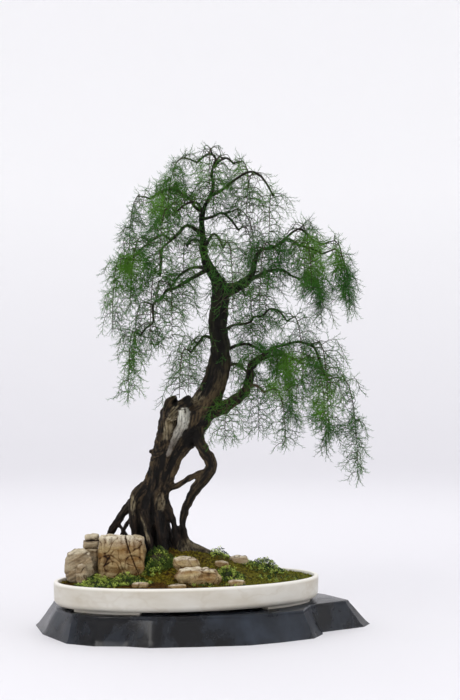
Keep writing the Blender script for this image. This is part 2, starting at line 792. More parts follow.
class Effects:
    """The node groups that several finishes share."""

    def __init__(self) -> None:
        """Builds each group once."""
        self.drift = self._drift()
        self.skin = self._skin()
        self.crevice = self._crevice()

    @staticmethod
    def _drift() -> NodeTree:
        """Colour that drifts between two tones over the surface."""
        effect = Effect("drift", {"Scale": "Float", "Low": "Float", "High": "Float",
                                  "First": "Color", "Second": "Color", "Stretch": "Vector"},
                        TWO_TONES)
        effect.tell_apart(effect.grain(4.0, 0.6), "First", "Second")
        return effect.group

    @staticmethod
    def _skin() -> NodeTree:
        """The fine unevenness of a natural surface, as a normal.

        Returns:
            The group.
        """
        effect = Effect("skin", {"Scale": "Float", "Strength": "Float", "Distance": "Float",
                                 "Stretch": "Vector"}, {"Normal": "Vector"})
        bump = add_node(effect.group, "Bump", {
            "Strength": effect.given["Strength"], "Distance": effect.given["Distance"],
            "Height": effect.grain(6.0, 0.65)})
        fill(effect.group, effect.out, {"Normal": bump.outputs[0]})
        return effect.group

    @staticmethod
    def _crevice() -> NodeTree:
        """Another colour in the crevices, which the mesh's own relief holds."""
        effect = Effect("crevice", {"Surface": "Color", "Deep": "Color", "Low": "Float",
                                    "High": "Float"}, TWO_TONES)
        relief = add_node(effect.group, "Attribute", attribute_name="relief").outputs["Fac"]
        effect.tell_apart(relief, "Deep", "Surface")
        return effect.group


class Finish:
    """A material under construction: its tree, its shader and the effects that it may use."""

    def __init__(
        self, name: str, shine: float, roughness: float = 0.5, effects: Effects | None = None
    ) -> None:
        """Starts a material.

        Args:
            name: Its name.
            shine: Its specular level.
            roughness: Its roughness, where nothing is fed to it.
            effects: The shared node groups.
        """
        self.material = bpy.data.materials.new(name)
        self.material.use_nodes = True
        self.tree = self.material.node_tree
        self.shader = self.tree.nodes["Principled BSDF"]
        self.effects = effects
        fill(self.tree, self.shader, {"Specular IOR Level": shine, "Roughness": roughness})

    def feed(self, socket: str, source: Socket) -> None:
        """Joins a socket to the shader."""
        self.tree.links.new(source, self.shader.inputs[socket])

    def grouped(self, group: NodeTree, inputs: dict[str, Any]) -> bpy.types.Node:
        """Places a shared group in the material."""
        node = self.tree.nodes.new("ShaderNodeGroup")
        node.node_tree = group
        fill(self.tree, node, inputs)
        return node

    def drift(
        self, scale: float, low: float, high: float, first: str = "000000",
        second: str = "ffffff", stretch: Row = (1, 1, 1)
    ) -> tuple[Socket, Socket]:
        """Colour that drifts between two tones, and its mask."""
        outputs = self.grouped(self.effects.drift, {
            "Scale": scale, "Low": low, "High": high, "First": first, "Second": second,
            "Stretch": stretch}).outputs
        return outputs["Color"], outputs["Mask"]

    def crevice(self, surface: Socket, deep: str, low: float, high: float) -> Socket:
        """A surface's colour with another where its relief is low."""
        return self.grouped(self.effects.crevice, {
            "Surface": surface, "Deep": deep, "Low": low, "High": high}).outputs["Color"]

    def roughen(
        self, scale: float, strength: float, distance: float, stretch: Row = (1, 1, 1)
    ) -> None:
        """Feeds the surface's fine unevenness to the shader."""
        self.feed("Normal", self.grouped(self.effects.skin, {
            "Scale": scale, "Strength": strength, "Distance": distance,
            "Stretch": stretch}).outputs["Normal"])

    def ramp(
        self, value: Socket, low: float, high: float, start: float = 0.0, end: float = 1.0
    ) -> Socket:
        """A value spread anew, from start where it is low to end where it is high."""
        return add_node(self.tree, "MapRange", {0: value, 1: low, 2: high, 3: start,
                                                4: end}).outputs[0]

    def reckon(self, operation: str, first: Any, second: Any = 0.5) -> Socket:
        """Two values reckoned together."""
        return add_node(self.tree, "Math", {0: first, 1: second}, operation=operation).outputs[0]

    def blend(self, share: Any, first: Any, second: Any, way: str = "MIX") -> Socket:
        """Two colours blended by a share of the second."""
        return blended(self.tree, share, first, second, way)

    def stored(self, name: str) -> Socket:
        """The value that the mesh stores under a name."""
        return add_node(self.tree, "Attribute", attribute_name=name).outputs["Fac"]

    def axis(self, number: int) -> Socket:
        """One of the object's own coordinates."""
        place = add_node(self.tree, "TexCoord").outputs["Object"]
        return add_node(self.tree, "SeparateXYZ", {0: place}).outputs[number]


@dataclass(frozen=True)
class Lacquer:
    """Black gloss lacquer over carved wood, blue-grey where it is worn thin."""

    dark: str = "090a0d"
    worn: str = "2b323c"

    def make(self, effects: Effects) -> Material:
        """Builds the material.

        Args:
            effects: The shared node groups.

        Returns:
            The material.
        """
        finish = Finish("black_lacquer", 0.26, effects=effects)
        tone, mask = finish.drift(14.0, 0.42, 0.72, self.dark, self.worn, (1, 1, 0.6))
        finish.feed("Base Color", tone)
        finish.feed("Roughness", finish.ramp(mask, 0.0, 1.0, 0.22, 0.42))
        finish.roughen(60.0, 0.25, 0.0012, (1, 1, 0.5))
        return finish.material


@dataclass(frozen=True)
class Marble:
    """Honed warm white marble with faint veins, greyer below its pale rim."""

    rim: str = "eeebe2"
    light: str = "cfccc2"
    warm: str = "bdb6a6"
    vein: str = "a39478"
    rim_height: Pair = (0.1, 0.105)

    def make(self, effects: Effects) -> Material:
        """Builds the material.

        Args:
            effects: The shared node groups.

        Returns:
            The material.
        """
        finish = Finish("warm_marble", 0.4, effects=effects)
        clouds, cloudy = finish.drift(7.0, 0.38, 0.66, self.light, self.warm, (1, 1, 2.5))
        _, winding = finish.drift(5.0, 0.0, 1.0, stretch=(1, 1, 1.7))
        off_vein = finish.reckon("ABSOLUTE", finish.reckon("SUBTRACT", winding, 0.5))
        wall = finish.blend(finish.ramp(off_vein, 0.0, 0.02, 0.16, 0.0), clouds, self.vein)
        upper = finish.ramp(finish.axis(2), *self.rim_height)
        finish.feed("Base Color", finish.blend(upper, wall, self.rim))
        finish.feed("Roughness", finish.ramp(cloudy, 0.0, 1.0, 0.3, 0.45))
        finish.roughen(90.0, 0.12, 0.0006)
        return finish.material


@dataclass(frozen=True)
class Moss:
    """Brown-olive moss over earth, greener to the right."""

    name: str = "moss"
    brown: str = "553a12"
    olive: str = "6c6217"
    fresh: str = "767f24"
    speck: str = "221b0a"

    def make(self, effects: Effects) -> Material:
        """Builds the material.

        Args:
            effects: The shared node groups.

        Returns:
            The material.
        """
        finish = Finish(self.name, 0.12, 0.95, effects)
        patches, _ = finish.drift(24.0, 0.44, 0.6, self.brown, self.olive)
        right = finish.ramp(finish.axis(0), -0.05, 0.22, 0.0, 0.65)
        colour = finish.blend(right, patches, self.fresh)
        specks, _ = finish.drift(190.0, 0.42, 0.6, self.speck)
        finish.feed("Base Color", finish.blend(0.8, colour, specks, "MULTIPLY"))
        finish.roughen(300.0, 0.8, 0.0015)
        return finish.material


@dataclass(frozen=True)
class Bark:
    """Rough bark, tan on its ridges in the middle of the trunk and dark above and below."""

    deep: str = "0a0705"
    ridge: str = "5e4f38"
    low: str = "33251a"
    high: str = "2c2d1c"
    fleck: str = "6a5a44"
    worn: str = "685c42"
    worn_pale: str = "a89c80"
    bare_low: str = "857f76"
    bare_high: str = "d8d8cc"
    streak: str = "9a948a"

    def make(self, effects: Effects) -> Material:
        """Builds the material.

        Args:
            effects: The shared node groups.

        Returns:
            The material.
        """
        finish = Finish("bark", 0.3, 0.88, effects)
        height = finish.axis(2)
        middle = finish.blend(finish.ramp(height, 0.2, 0.3), self.low, self.ridge)
        upper = finish.blend(finish.ramp(height, 0.44, 0.56), middle, self.high)
        flecks, _ = finish.drift(260.0, 0.32, 0.66, self.fleck, stretch=(1, 1, 0.1))
        flecked = finish.blend(0.8, upper, flecks, "MULTIPLY")
        smooth, _ = finish.drift(110.0, 0.35, 0.65, self.worn, self.worn_pale, (1, 1, 0.4))
        living = finish.blend(finish.stored("worn"), flecked, smooth)
        grey = finish.blend(finish.ramp(height, 0.37, 0.44), self.bare_low, self.bare_high)
        streaks, _ = finish.drift(90.0, 0.32, 0.62, self.streak, stretch=(1, 1, 0.3))
        streaked = finish.blend(0.8, grey, streaks, "MULTIPLY")
        wood = finish.blend(finish.stored("bare"), living, streaked)
        finish.feed("Base Color", finish.crevice(wood, self.deep, 0.12, 0.8))
        finish.roughen(260.0, 0.7, 0.0012, (1, 1, 0.3))
        return finish.material


@dataclass(frozen=True)
class Leafy:
    """Small leaves or branchlets: green that drifts in large and small patches."""

    name: str
    dark: str
    light: str
    fresh: str
    scale: float
    patches: float = 0.6
    roughness: float = 0.6

    def make(self, effects: Effects) -> Material:
        """Builds the material.

        Args:
            effects: The shared node groups.

        Returns:
            The material.
        """
        finish = Finish(self.name, 0.18, self.roughness, effects)
        small, _ = finish.drift(self.scale * 8, 0.35, 0.68, self.dark, self.light)
        _, large = finish.drift(self.scale, 0.46, 0.68, stretch=(1, 1, 0.7))
        share = finish.reckon("MAXIMUM", finish.reckon("MULTIPLY", large, self.patches),
                              finish.stored("fresh"))
        finish.feed("Base Color", finish.blend(share, small, self.fresh))
        return finish.material


@dataclass(frozen=True)
class TwigWood:
    """The thin dark wood that carries the foliage."""

    dark: str = "2a2318"
    light: str = "4b4430"

    def make(self, effects: Effects) -> Material:
        """Builds the material.

        Args:
            effects: The shared node groups.

        Returns:
            The material.
        """
        finish = Finish("twig_wood", 0.3, 0.8, effects)
        finish.feed("Base Color", finish.drift(90.0, 0.35, 0.7, self.dark, self.light)[0])
        return finish.material


@dataclass(frozen=True)
class Stone:
    """Weathered stone: layered tones, stained cracks, dark clefts, and a paler top."""

    name: str
    base: str
    stain: str
    pale: str
    crack: str
    cleft: str
    top: float
    grit: str = "b8ad9a"

    def make(self, effects: Effects) -> Material:
        """Builds the material.

        Args:
            effects: The shared node groups.

        Returns:
            The material.
        """
        finish = Finish(self.name, 0.3, 0.9, effects)
        layers, _ = finish.drift(26.0, 0.36, 0.66, self.base, self.stain, (1, 1, 3.2))
        upper = finish.ramp(finish.axis(2), self.top - 0.02, self.top)
        _, patch = finish.drift(40.0, 0.3, 0.6)
        lit = finish.reckon("MAXIMUM", upper, finish.stored("upward"))
        surface = finish.blend(finish.reckon("MULTIPLY", lit, patch), layers, self.pale)
        grits, _ = finish.drift(500.0, 0.3, 0.6, self.grit)
        gritty = finish.blend(0.7, surface, grits, "MULTIPLY")
        cracked = finish.crevice(gritty, self.crack, 0.2, 0.8)
        finish.feed("Base Color", finish.crevice(cracked, self.cleft, 0.04, 0.24))
        finish.roughen(180.0, 0.6, 0.0012, (1, 1, 2))
        return finish.material


class Palette:
    """Every material of the object."""

    def __init__(self) -> None:
        """Builds each material once."""
        effects = Effects()
        self.lacquer = Lacquer().make(effects)
        self.marble = Marble().make(effects)
        self.moss = Moss().make(effects)
        self.moss_tips = Moss("moss_tips", "66481a", "857922", "929c34").make(effects)
        self.bark = Bark().make(effects)
        self.foliage = Leafy("branchlets", "173d11", "3b7a21", "609529", 9.0).make(effects)
        self.twigs = TwigWood().make(effects)
        self.cover = Leafy("small_leaves", "0c2208", "2b541a", "b9cc5c", 30.0, 0.2,
                           0.5).make(effects)
        self.limestone = Stone("limestone", "b8a67b", "8a683b", "e8e0ca", "56391a", "1e140a",
                               0.189).make(effects)
        self.greystone = Stone("greystone", "b3a88e", "8c7656", "ded4bb", "54432f", "1f1810",
                               0.188).make(effects)


def write_mask(mesh: Mesh, name: str, values: Sequence[float]) -> None:
    """Stores one value a vertex on a mesh, for its material to read."""
    mask = mesh.attributes.new(name, "FLOAT", "POINT")
    mask.data.foreach_set("value", list(values))


def move_to(mesh: Mesh, places: Sequence[Vector]) -> None:
    """Moves a mesh's vertices to their new places."""
    mesh.vertices.foreach_set("co", np.array([list(place) for place in places]).ravel())


def drawn_up(bm: BMesh) -> list[bmesh.types.BMVert]:
    """Draws all of a mesh's faces up into a body, and gives the vertices of its new end."""
    drawn = bmesh.ops.extrude_face_region(bm, geom=list(bm.faces))["geom"]
    return [v for v in drawn if isinstance(v, bmesh.types.BMVert)]


def soften(bm: BMesh, edges: list[bmesh.types.BMEdge], by: float, **how: Any) -> None:
    """Rounds some of a mesh's edges by a width, with the bevel's other settings."""
    bmesh.ops.bevel(bm, geom=edges, offset=by, offset_type="OFFSET", profile=0.5, affect="EDGES",
                    material=-1, **how)


@dataclass
class Stand:
    """The lacquered slab with its chiselled, sloping sides."""

    height: float = STAND_HEIGHT * MM
    edge: float = 0.003
    cuts: int = 7
    chisel: float = 0.0022
    chisel_scale: float = 22.0

    def build(self) -> Mesh:
        """Draws up the slab from its foot's outline and chisels its sides.

        Returns:
            The slab's mesh.
        """
        bm = bmesh.new()
        foot = [bm.verts.new((x * MM, y * MM, 0)) for x, y, _, _ in STAND_CORNERS]
        bm.faces.new(foot)
        for v in drawn_up(bm):
            x, y = v.co.x / MM, v.co.y / MM
            row = min(STAND_CORNERS, key=lambda corner: math.hypot(corner[0] - x, corner[1] - y))
            v.co = Vector((row[2] * MM, row[3] * MM, self.height))
        bmesh.ops.recalc_face_normals(bm, faces=bm.faces)
        sides = [f for f in bm.faces if len(f.verts) == 4]
        around = {e for f in sides for e in f.edges}
        bmesh.ops.subdivide_edges(bm, edges=list(around), cuts=self.cuts, use_grid_fill=True)
        self._carve(bm)
        rim = [e for e in bm.edges if self._is_rim(e)]
        soften(bm, rim, self.edge, segments=3, clamp_overlap=True)
        return mesh_of(bm)

    def _is_rim(self, edge: bmesh.types.BMEdge) -> bool:
        """Whether an edge runs round the top face."""
        return all(v.co.z > self.height - 1e-5 for v in edge.verts) and any(
            len(f.verts) > 4 for f in edge.link_faces)

    def _carve(self, bm: BMesh) -> None:
        """Cuts flat chisel marks into the sides, none of them outwards."""
        for v in bm.verts:
            if 1e-5 < v.co.z < self.height - 1e-5:
                distances, _ = noise.voronoi(v.co * self.chisel_scale)
                mark = min(1.0, distances[0] * 1.6)
                inward = Vector((-v.co.x, -v.co.y, 0)).normalized()
                v.co += inward * (self.chisel * mark)

    def dress(self, palette: Palette) -> None:
        """Gives the slab its finish and makes it a piece."""
        piece_of("stand_lacquer", self.build(), [palette.lacquer], ["stand"],
                 sharp=24)


def spin(profile: Sequence[Pair], steps: int, join: float) -> BMesh:
    """Turns a profile once round.

    Args:
        profile: Rows of distance from the middle and height, in metres.
        steps: Faces round it.
        join: Vertices closer than this are joined.

    Returns:
        The body.
    """
    bm = bmesh.new()
    line = [bm.verts.new((r, 0, z)) for r, z in profile]
    edges = [bm.edges.new(pair) for pair in zip(line, line[1:])]
    bmesh.ops.spin(bm, geom=line + edges, cent=(0, 0, 0), axis=(0, 0, 1), dvec=(0, 0, 0),
                   angle=math.tau, steps=steps, use_merge=True, use_duplicate=False)
    bmesh.ops.remove_doubles(bm, verts=bm.verts, dist=join)
    return bm


def oval_spin(profile: Sequence[Pair], steps: int) -> BMesh:
    """Turns a profile into a closed oval body.

    Args:
        profile: Rows of distance from the middle and height, in millimetres, from axis to axis.
        steps: Faces round it.

    Returns:
        The body, in metres.
    """
    bm = spin([(r * MM, z * MM) for r, z in profile], steps, 1e-6)
    for v in bm.verts:
        radius = math.hypot(v.co.x, v.co.y) / MM
        even = max(radius, TRAY_RADIUS - EVEN_BAND)
        deep = (even - TRAY_RADIUS + TRAY_WIDTH / 2) * (radius / even)
        v.co.y *= deep / max(radius, 1.0)
    bmesh.ops.recalc_face_normals(bm, faces=bm.faces)
    return bm


@dataclass
class Tray:
    """The marble tray: an oval shell with a soft lip and four low bracket feet."""

    steps: int = 160
    foot_arc: Pair = (20.0, 60.0)
    foot_inset: float = 14.0
    foot_width: float = 15.0
    foot_edge: float = 0.0012
    foot_steps: int = 28

    def shell(self) -> BMesh:
        """Turns the shell, with its lip and lower edge rounded.

        Returns:
            The shell.
        """
        radius, under, top = TRAY_RADIUS, TRAY_UNDERSIDE, TRAY_TOP
        inside, floor = radius - TRAY_WALL, under + TRAY_FLOOR
        profile = [
            (0, under), (radius - 40, under), (radius - 12.5, under), (radius - 9, under + 0.8),
            (radius - 4, under + 4.6), (radius - 1.6, under + 8.2), (radius - 0.9, under + 12),
            (radius - 0.3, top - 14), (radius, top - 5), (radius - 0.4, top - 2.2),
            (radius - 1.5, top - 0.6), (radius - 3.4, top), (inside + 3.2, top),
            (inside + 1.6, top - 0.7), (inside + 1.0, top - 2.4), (inside - 1, top - 12),
            (inside - 3, floor + 3), (inside - 6, floor), (0, floor),
        ]
        return oval_spin(profile, self.steps)

    def foot(self, right: int, back: int) -> BMesh:
        """Draws up one bracket foot under the shell's edge.

        Args:
            right: 1 on the right, -1 on the left.
            back: 1 at the back, -1 in front.

        Returns:
            The foot.
        """
        bm = bmesh.new()
        bmesh.ops.create_grid(bm, x_segments=self.foot_steps, y_segments=1, size=0.5)
        for v in bm.verts:
            share, inner = v.co.x + 0.5, v.co.y + 0.5
            angle = math.radians(mix(*self.foot_arc, share))
            inset = self.foot_inset + self.foot_width * inner
            v.co = Vector((right * (TRAY_RADIUS - inset) * math.cos(angle) * MM,
                           back * (TRAY_WIDTH / 2 - inset) * math.sin(angle) * MM,
                           (TRAY_UNDERSIDE + TRAY_FLOOR / 2) * MM))
        bottom = (STAND_HEIGHT + SEAT_GAP) * MM
        for v in drawn_up(bm):
            v.co.z = bottom
        bmesh.ops.recalc_face_normals(bm, faces=bm.faces)
        rim = [e for e in bm.edges
               if all(v.co.z < bottom + 1e-6 for v in e.verts) and e.calc_face_angle(0) > 0.5]
        soften(bm, rim, self.foot_edge, segments=2)
        return bm

    def dress(self, palette: Palette) -> None:
        """Gives the tray its finish and makes it a piece."""
        bm = self.shell()
        for right, back in ((1, 1), (-1, 1), (-1, -1), (1, -1)):
            pour(self.foot(right, back), bm)
        piece_of("tray_marble", mesh_of(bm), [palette.marble], ["tray"], sharp=35)


@dataclass
class MossBed:
    """The mounded earth in the tray, cushions of moss on it, and their fuzz."""

    steps: int = 220
    rings: int = 54
    cushion: float = 2.6
    cushion_scale: float = 38.0
    crumb: float = 1.1
    crumb_scale: float = 150.0
    tufts: int = 3600
    blades: int = 5
    tuft_size: Pair = (2.6 * MM, 4.6 * MM)
    tuft_sunk: float = 0.4
    seed: int = 77

    def top(self, x: float, y: float) -> float:
        """Height of the moss at a place of the row frame, in millimetres."""
        fade = clamped((1 - oval_share(x, y)) * 12)
        spot = Vector((x, y, 0)) * MM
        cushions = abs(noise.noise(spot * self.cushion_scale)) * self.cushion
        crumbs = noise.noise(spot * self.crumb_scale + Vector((3, 5, 7))) * self.crumb
        return soil_height(x, y) + fade * (cushions + crumbs)

    def bed(self) -> BMesh:
        """Turns the bed to the tray's inside and raises its top.

        Returns:
            The bed.
        """
        edge = TRAY_RADIUS - TRAY_WALL - 2 * SEAT_GAP
        bottom = TRAY_UNDERSIDE + TRAY_FLOOR + SEAT_GAP
        rings = [(edge * (1 - ring / self.rings), SOIL_EDGE) for ring in range(self.rings)]
        bm = oval_spin([(0, bottom), (edge - 3, bottom), *rings, (0, SOIL_EDGE)], self.steps)
        for v in bm.verts:
            if v.co.z > (SOIL_EDGE - 1) * MM:
                v.co.z = self.top(v.co.x / MM, v.co.y / MM) * MM
        return bm

    def tuft(self, draws: Draws) -> Stamp:
        """A tuft of moss: short blades from one foot.

        Args:
            draws: The draws.

        Returns:
            The tuft.
        """
        bm = bmesh.new()
        for blade in range(self.blades):
            turn = Matrix.Rotation(blade * GOLDEN_TURN, 4, "Y")
            tilt = Matrix.Rotation(draws.between(0.15, 0.7), 4, "X")
            stand = Matrix.Rotation(-math.pi / 2, 4, "X")
            lift = Matrix.Translation((0, draws.between(0.6, 1.2) * 0.5, 0))
            add_spike(bm, 0.2, lift.translation.y * 2, turn @ tilt @ lift @ stand)
        bmesh.ops.remove_doubles(bm, verts=bm.verts, dist=1e-5)
        return Stamp(bm)

    def fuzz(self) -> BMesh:
        """Sets tufts all over the bed.

        Returns:
            All the tufts.
        """
        draws = Draws(self.seed)
        stamps = [self.tuft(draws) for _ in range(3)]
        bm = bmesh.new()
        reach = (TRAY_RADIUS - TRAY_WALL - 3, TRAY_WIDTH / 2 - TRAY_WALL - 3)
        for number in range(self.tufts):
            angle, out = draws.in_round()
            x, y = reach[0] * out * math.cos(angle), reach[1] * out * math.sin(angle)
            foot = Vector((x, y, self.top(x, y) - self.tuft_sunk)) * MM
            stamps[number % 3].place(bm, foot, draws.leaning(), draws.between(*self.tuft_size))
        for stamp in stamps:
            stamp.drop()
        return bm

    def dress(self, palette: Palette) -> None:
        """Gives the bed and its fuzz their finish and makes them pieces."""
        piece_of("moss_bed", mesh_of(self.bed()), [palette.moss], ["soil"])
        piece_of("moss_fuzz", mesh_of(self.fuzz()), [palette.moss_tips])


# How square a squared stone is before and after, as the power of an oval
SQUARENESS = (6, 18)
# Scales of a stone's noise: large and small lumps, waves of its beds, beds across, upright folds
LUMPS, SMALL_LUMPS, BED_WAVES, BEDS_ACROSS, FOLDS = 45, 130, 30, 22, Vector((170, 170, 26))


@dataclass
class Rock:
    """One stone: its solid remade in fine faces, with lumps, beds and curved cracks.

    The beds may dip, in degrees from level. Joints are the heights where one layer lies on
    another.
    """

    name: str
    slot: Slot
    voxel: float = 2.0
    lump: float = 1.8
    layer: float = 0.7
    crack: float = 1.3
    grain: tuple[float, float, float] = (48.0, 48.0, 48.0)
    dip: float = 0.0
    beds: float = 120.0
    wrinkle: float = 0.2
    swell: float = 1.0
    joints: Sequence[float] = ()
    split: Sequence[Pair] = ()
    arches: Sequence[tuple[float, float, float]] = ()
    squared: bool = False
    split_cut: float = 3.2
    joint_cut: float = 2.2

    def _split_depth(self, point: Vector) -> float:
        """How deep the stone's one long split is at a point of its front, from 0 to 1.

        Args:
            point: The point, in metres.

        Returns:
            The depth.
        """
        spot = Vector((to_the_right(point), point.z / MM))
        depth = 0.0
        for a, b in zip(self.split, self.split[1:]):
            start, run = Vector(a), Vector(b) - Vector(a)
            t = clamped((spot - start).dot(run) / run.length_squared)
            depth = max(depth, 1 - smooth_step(0.4, 1.9, (spot - start - run * t).length))
        return depth

    @staticmethod
    def _square_up(mesh: Mesh) -> None:
        """Pushes a stone's rounded corners out towards its box, from one oval to a squarer one.

        Args:
            mesh: The stone's mesh.
        """
        axes = np.array([list(heading(0)), list(heading(90)), list(UP)])
        along = np.array([list(v.co) for v in mesh.vertices]) @ axes.T
        low, high = along.min(axis=0), along.max(axis=0)
        middle, half = (low + high) / 2, (high - low) / 2
        near = np.abs((along - middle) / half)
        grow = np.divide(*((near**power).sum(axis=1) ** (1 / power) for power in SQUARENESS))
        places = (middle + (along - middle) * grow[:, None]) @ axes
        mesh.vertices.foreach_set("co", places.ravel())
        mesh.update()

    def _arch_depth(self, point: Vector) -> float:
        """How deep the arched flake lines of the stone's front are at a point, from 0 to 1.

        Args:
            point: The point, in metres.

        Returns:
            The depth.
        """
        x, z = to_the_right(point), point.z / MM
        depth = 0.0
        for centre, foot, radius in self.arches:
            away = math.hypot(x - centre, (z - foot) * 0.8) + 3.5 * noise.noise(point * 60)
            above = smooth_step(-6, 4, z - foot)
            depth = max(depth, above * (1 - smooth_step(0.3, 2.0, abs(away - radius))))
        return depth

    def _crack_depth(self, point: Vector, seed: Vector) -> float:
        """How deep the curved cracks are at a point, from 0 to 1."""
        warp = noise.noise_vector(point * 26 + seed) * 0.008
        bed = Vector([(point[i] + warp[i]) * self.grain[i] for i in range(3)])
        long = 1 - smooth_step(0.0, 0.09, abs(noise.noise(bed + seed)))
        short = 1 - smooth_step(0.0, 0.08, abs(noise.noise(bed * 2.1 - seed)))
        return max(long, 0.55 * short)

    def build(self, solid: bpy.types.Object) -> Mesh:
        """Remakes a solid as weathered stone.

        Args:
            solid: The solid of the frame.

        Returns:
            The stone's mesh, with its relief stored on it.
        """
        bm = bmesh.new()
        bm.from_mesh(solid.data)
        bmesh.ops.remove_doubles(bm, verts=bm.verts, dist=1e-6)
        mesh = remeshed(mesh_of(bm), self.voxel * MM, 3)
        if self.squared:
            self._square_up(mesh)
        relief, upward, moves = [], [], []
        seed = Vector((len(self.name), 3.0, 1.0))
        slope = math.radians(self.dip)
        across_beds = UP * math.cos(slope) - heading(0) * math.sin(slope)
        for v in mesh.vertices:
            lump = noise.noise(v.co * LUMPS + seed) + 0.4 * noise.noise(v.co * SMALL_LUMPS - seed)
            level = v.co.dot(across_beds) + 0.004 * noise.noise(v.co * BED_WAVES + seed)
            bed = noise.noise(Vector((*v.co.xy * BEDS_ACROSS, level * self.beds)) + seed)
            fold = noise.noise(v.co * FOLDS - seed)
            crack = max(self._crack_depth(v.co, seed), self._arch_depth(v.co))
            split = self._split_depth(v.co) if self.split else 0.0
            joint = max((1 - smooth_step(0.0, 2.2, abs(v.co.z / MM - z + 2.5 * lump))
                         for z in self.joints), default=0.0)
            move = (self.lump * lump + self.layer * bed + self.wrinkle * fold
                    - self.crack * crack - self.split_cut * split - self.joint_cut * joint)
            moves.append(v.co + v.normal * ((self.swell + min(move, self.lump * 0.6)) * MM))
            tone = 0.8 + 0.35 * self.layer * bed + 0.7 * self.wrinkle * fold
            tone -= 0.6 * min(1.0, self.crack) * crack
            relief.append(clamped(tone - 0.85 * max(split, joint)))
            upward.append(smooth_step(0.35, 0.9, v.normal.z + 0.25 * lump))
        move_to(mesh, moves)
        write_mask(mesh, "relief", relief)
        write_mask(mesh, "upward", upward)
        return mesh

    def dress(self, palette: Palette, solid: bpy.types.Object) -> None:
        """Gives the stone its finish and makes it a piece."""
        finish = palette.limestone if self.slot is Slot.LIMESTONE else palette.greystone
        piece_of(f"{self.name}_weathered", self.build(solid), [finish], [self.name])


ROCKS = [
    Rock("rock_big", Slot.LIMESTONE, voxel=1.6, lump=2.2, layer=1.0, crack=1.7, beds=70.0,
         grain=(46.0, 46.0, 46.0), wrinkle=0.9,
         split=[(-125, 196), (-118, 172), (-113, 158), (-96.5, 118)],
         arches=[(-150, 116, 20), (-156, 112, 33), (-104, 126, 22)], squared=True),
    Rock("boulder_left", Slot.GREYSTONE, voxel=1.5, lump=1.4, layer=2.6, dip=30.0, beds=230.0,
         crack=0.2, grain=(30.0, 30.0, 60.0), wrinkle=0.3),
    Rock("block_left", Slot.GREYSTONE, voxel=1.5, layer=1.0),
    Rock("rock_layered", Slot.GREYSTONE, voxel=1.5, lump=2.8, layer=1.6, dip=10.0, crack=0.8,
         grain=(22.0, 22.0, 120.0), wrinkle=0.4, joints=(164, 179)),
    Rock("stone_back", Slot.GREYSTONE),
    Rock("stone_flat", Slot.LIMESTONE, voxel=1.5, lump=1.4, layer=1.2, crack=0.8, dip=-6.0),
    Rock("stone_middle", Slot.LIMESTONE, voxel=1.4, lump=4.2, layer=1.6, crack=1.2, dip=8.0,
         wrinkle=0.8),
    Rock("stone_right", Slot.LIMESTONE, lump=1.0, layer=1.0, crack=0.8),
    Rock("stone_left", Slot.LIMESTONE, lump=1.0, layer=1.0, crack=0.8),
    Rock("stone_pale", Slot.LIMESTONE, lump=1.4, layer=1.0, crack=0.8),
    Rock("stone_front", Slot.LIMESTONE, lump=1.0, layer=1.0, crack=0.8),
]


